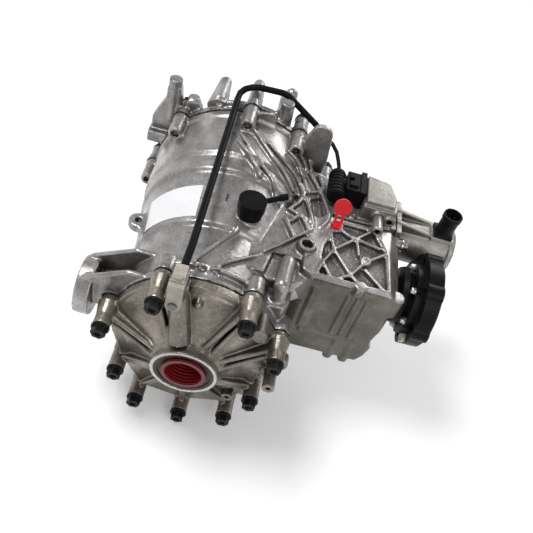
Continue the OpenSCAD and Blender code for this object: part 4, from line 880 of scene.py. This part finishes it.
near_casting = casting("near_cover_casting", "near_cover", "housing", cover_metal,
                       0.0011, 3, 165000, near_cover_forms)
near_casting.data.materials.append(bare_metal)
hub_end = at(0, HUB_FACE_Y, 0).y
for face in near_casting.data.polygons:
    if abs(face.center.y - hub_end) < HUB_FACE_REACH and face.normal.y < -0.6:
        face.material_index = 1
print("machined faces", sum(1 for f in near_casting.data.polygons if f.material_index == 1))

# %% [markdown]
# Behind the drum the far cover rises in a shoulder from which thick round-tipped posts stand.
# The actuator's pod and the motor's housing are smaller castings, so a finer net suits them.

# %% Far cover and actuator castings
def far_cover_forms(bm):
    band(bm, 88, 113, 170, 190, 66, 131)
    band(bm, 100, 124, 177, 184, 70, 113)
    rod(bm, (-50, 176, 107), (-49, 226, 115.5), 14, 8.4)
    rod(bm, (-4, 176, 113), (-4.4, 224, 125), 11.5, 8.4)
    rod(bm, (37, 184, 92), (40, 212, 118), 13, 9)
    bead(bm, [(40, 212, 112), (40, 212, 133)], 8.4)


casting("far_cover_casting", "far_cover", "housing", drum_metal, 0.0013, 4, 140000,
        far_cover_forms)
casting("pod_casting", "actuator_pod", "housing", pod_metal, 0.0009, 8, 90000)
casting("motor_casting", "motor_housing", "housing", pod_metal, 0.0009, 5, 80000)

# %% [markdown]
# The motor's socket is a round black hood with a collar, open at the top, with two pins inside.
# One outline spun about its own upright axis gives the hood, and a bevel softens its rims.

# %% Motor socket
SOCKET_X = 268.5
SOCKET_Y = 86
PIN_APART = 3


def motor_socket():
    made = bmesh.new()
    outline = [(0, 83), (12.2, 83), (12.2, 86), (11.2, 88), (11.2, 104), (12.2, 105), (12.2, 112), (10, 112),
               (10, 99), (0, 99)]
    rail = [made.verts.new(at(SOCKET_X + r, SOCKET_Y, z)) for r, z in outline]
    edges = [made.edges.new(pair) for pair in zip(rail, rail[1:])]
    bmesh.ops.spin(made, geom=rail + edges, cent=at(SOCKET_X, SOCKET_Y, 0), axis=(0, 0, 1),
                   angle=math.tau, steps=48, use_merge=True, use_duplicate=False)
    bmesh.ops.remove_doubles(made, verts=made.verts, dist=1e-6)
    bmesh.ops.recalc_face_normals(made, faces=made.faces)
    for x in (SOCKET_X - PIN_APART, SOCKET_X + PIN_APART):
        rod(made, (x, SOCKET_Y, 98), (x, SOCKET_Y, 108), 1.0)
    for x0, y0, x1, y1 in ((266, 73.6, 271, 76), (262, 95.4, 275, 98)):
        plate(made, [(x0, y0), (x1, y0), (x1, y1), (x0, y1)], 89, 104)
    plate(made, [(256, 74), (279.5, 74), (279.5, 98), (256, 98)], 80.2, 84)
    piece = as_object(made, "motor_socket")
    soft = piece.modifiers.new("soft", "BEVEL")
    soft.width = 0.0005
    soft.segments = 2
    soft.limit_method = "ANGLE"
    apply_modifiers(piece)
    for face in piece.data.polygons:
        face.use_smooth = face.area < 0.00002
    piece.data.materials.append(black_plastic)
    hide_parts("motor_connector")
    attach(piece, "housing")
    print("socket faces", len(piece.data.polygons))


motor_socket()

# %% [markdown]
# Liquid sealant is pressed out of a joint as a bumpy black line. The solids hold only the even
# layer between the castings, so a copy of it is netted finely and pushed outwards by a cloudy
# texture. Most of that growth hides inside the castings, and only the squeezed line shows.

# %% Squeezed sealant
def squeezed(name, node):
    piece = as_object(copied(node), name)
    net_over(piece, 0.0008)
    clouds = bpy.data.textures.new(name + "_clouds", "CLOUDS")
    clouds.noise_scale = 0.006
    push = piece.modifiers.new("push", "DISPLACE")
    push.texture = clouds
    push.texture_coords = "LOCAL"
    push.mid_level = 0.25
    push.strength = 0.0022
    melt = piece.modifiers.new("melt", "SMOOTH")
    melt.iterations = 2
    apply_modifiers(piece)
    smooth_and_dress(piece, sealant_black)
    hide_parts(node)
    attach(piece, "housing")
    print(name, "faces", len(piece.data.polygons))


squeezed("near_sealant_bead", "near_sealant")
squeezed("far_sealant_bead", "far_sealant")

# %% [markdown]
# The harness lead is a smooth black conduit. It leaves the sensor, crosses the drum in one
# straight run, bends over the far towers and drops into the boot of the pod's plug.
# It could be a mesh tube, but a curve with a round bevel keeps its line exact and easy to read,
# so the route's points from the drawing become one curve, which is thinner past the flat lug.

# %% Harness lead
lead_route = [(-24.5, -112, 118.4), (-23.4, -80, 121.5), (-25.8, 172, 130.5), (-25, 183, 132.5),
              (-20, 191, 135), (-12, 195, 137.5), (-2, 197, 139), (28, 198, 140), (36, 196.5, 139),
              (44, 193, 136), (80, 178, 121), (87, 174, 117.5), (92, 171, 115.5), (98, 166, 114.3),
              (107, 158, 112.8), (114, 148, 110), (118, 137, 106.5), (120.6, 129.5, 103),
              (121, 125.5, 101.5), (121, 122, 101.5)]
LEAD_WIDTH = 0.0084
THIN_FROM = 12
THIN_SHARE = 0.62


def lead_curve():
    made = bpy.data.curves.new("harness_conduit", "CURVE")
    made.dimensions = "3D"
    made.bevel_depth = LEAD_WIDTH / 2
    made.bevel_resolution = 5
    line = made.splines.new("POLY")
    line.points.add(len(lead_route) - 1)
    for i, place in enumerate(lead_route):
        line.points[i].co = (*at(*place), 1)
        line.points[i].radius = 1.0 if i < THIN_FROM else THIN_SHARE
    made.use_fill_caps = True
    piece = bpy.data.objects.new("harness_conduit", made)
    bpy.context.collection.objects.link(piece)
    return piece


lead = lead_curve()
lead.data.materials.append(conduit_black)
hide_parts("harness_lead")
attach(lead, "housing")

# %% [markdown]
# The rest of the solids already have the right shape. Each gets the finish of what it is made of:
# black fasteners, rubber seals, a beige sensor, bright screws, and steel inside.

# %% Finishes for the solids that stay
finish_of = {
    "near_cover_bolts": black_steel, "far_cover_bolts": black_steel,
    "near_oil_seal": seal_face, "far_oil_seal": seal_face,
    "pinion_oil_seal": rubber, "ear_bush_rubber": rubber, "ear_bush_sleeve": bright_steel,
    "breather_pipe": bright_steel, "breather_cap": cap_plastic, "speed_sensor": sensor_plastic,
    "sensor_screw": forged_steel, "connector_boot": rubber, "pod_connector": black_plastic,
    "actuator_bolts": bright_steel, "drain_plug": bright_steel,
    "part_label": label_film, "input_flange": coated_steel, "flange_screws": bright_steel,
    "flange_nut": bright_steel, "balance_weight": weight_paint, "seal_sleeve": guard_red,
    "tag_plug": red_plastic, "clutch_friction_plates": friction_lining, "diff_case": forged_steel,
    "case_cover": forged_steel, "pressure_plate": forged_steel, "pinion_spacer": forged_steel,
    "motor_rotor": forged_steel,
}
made_anew = ("main_housing", "near_cover", "far_cover", "actuator_pod", "motor_housing",
             "harness_lead", "motor_connector", "near_sealant", "far_sealant")
shown = [n for n in nodes if n not in made_anew]
for n in shown:
    skin = finish_of.get(n, gear_steel)
    slots = nodes[n].material_slots
    if slots:
        for one in slots:
            one.material = skin
    else:
        nodes[n].data.materials.append(skin)
print("dressed", len(shown), "solids")
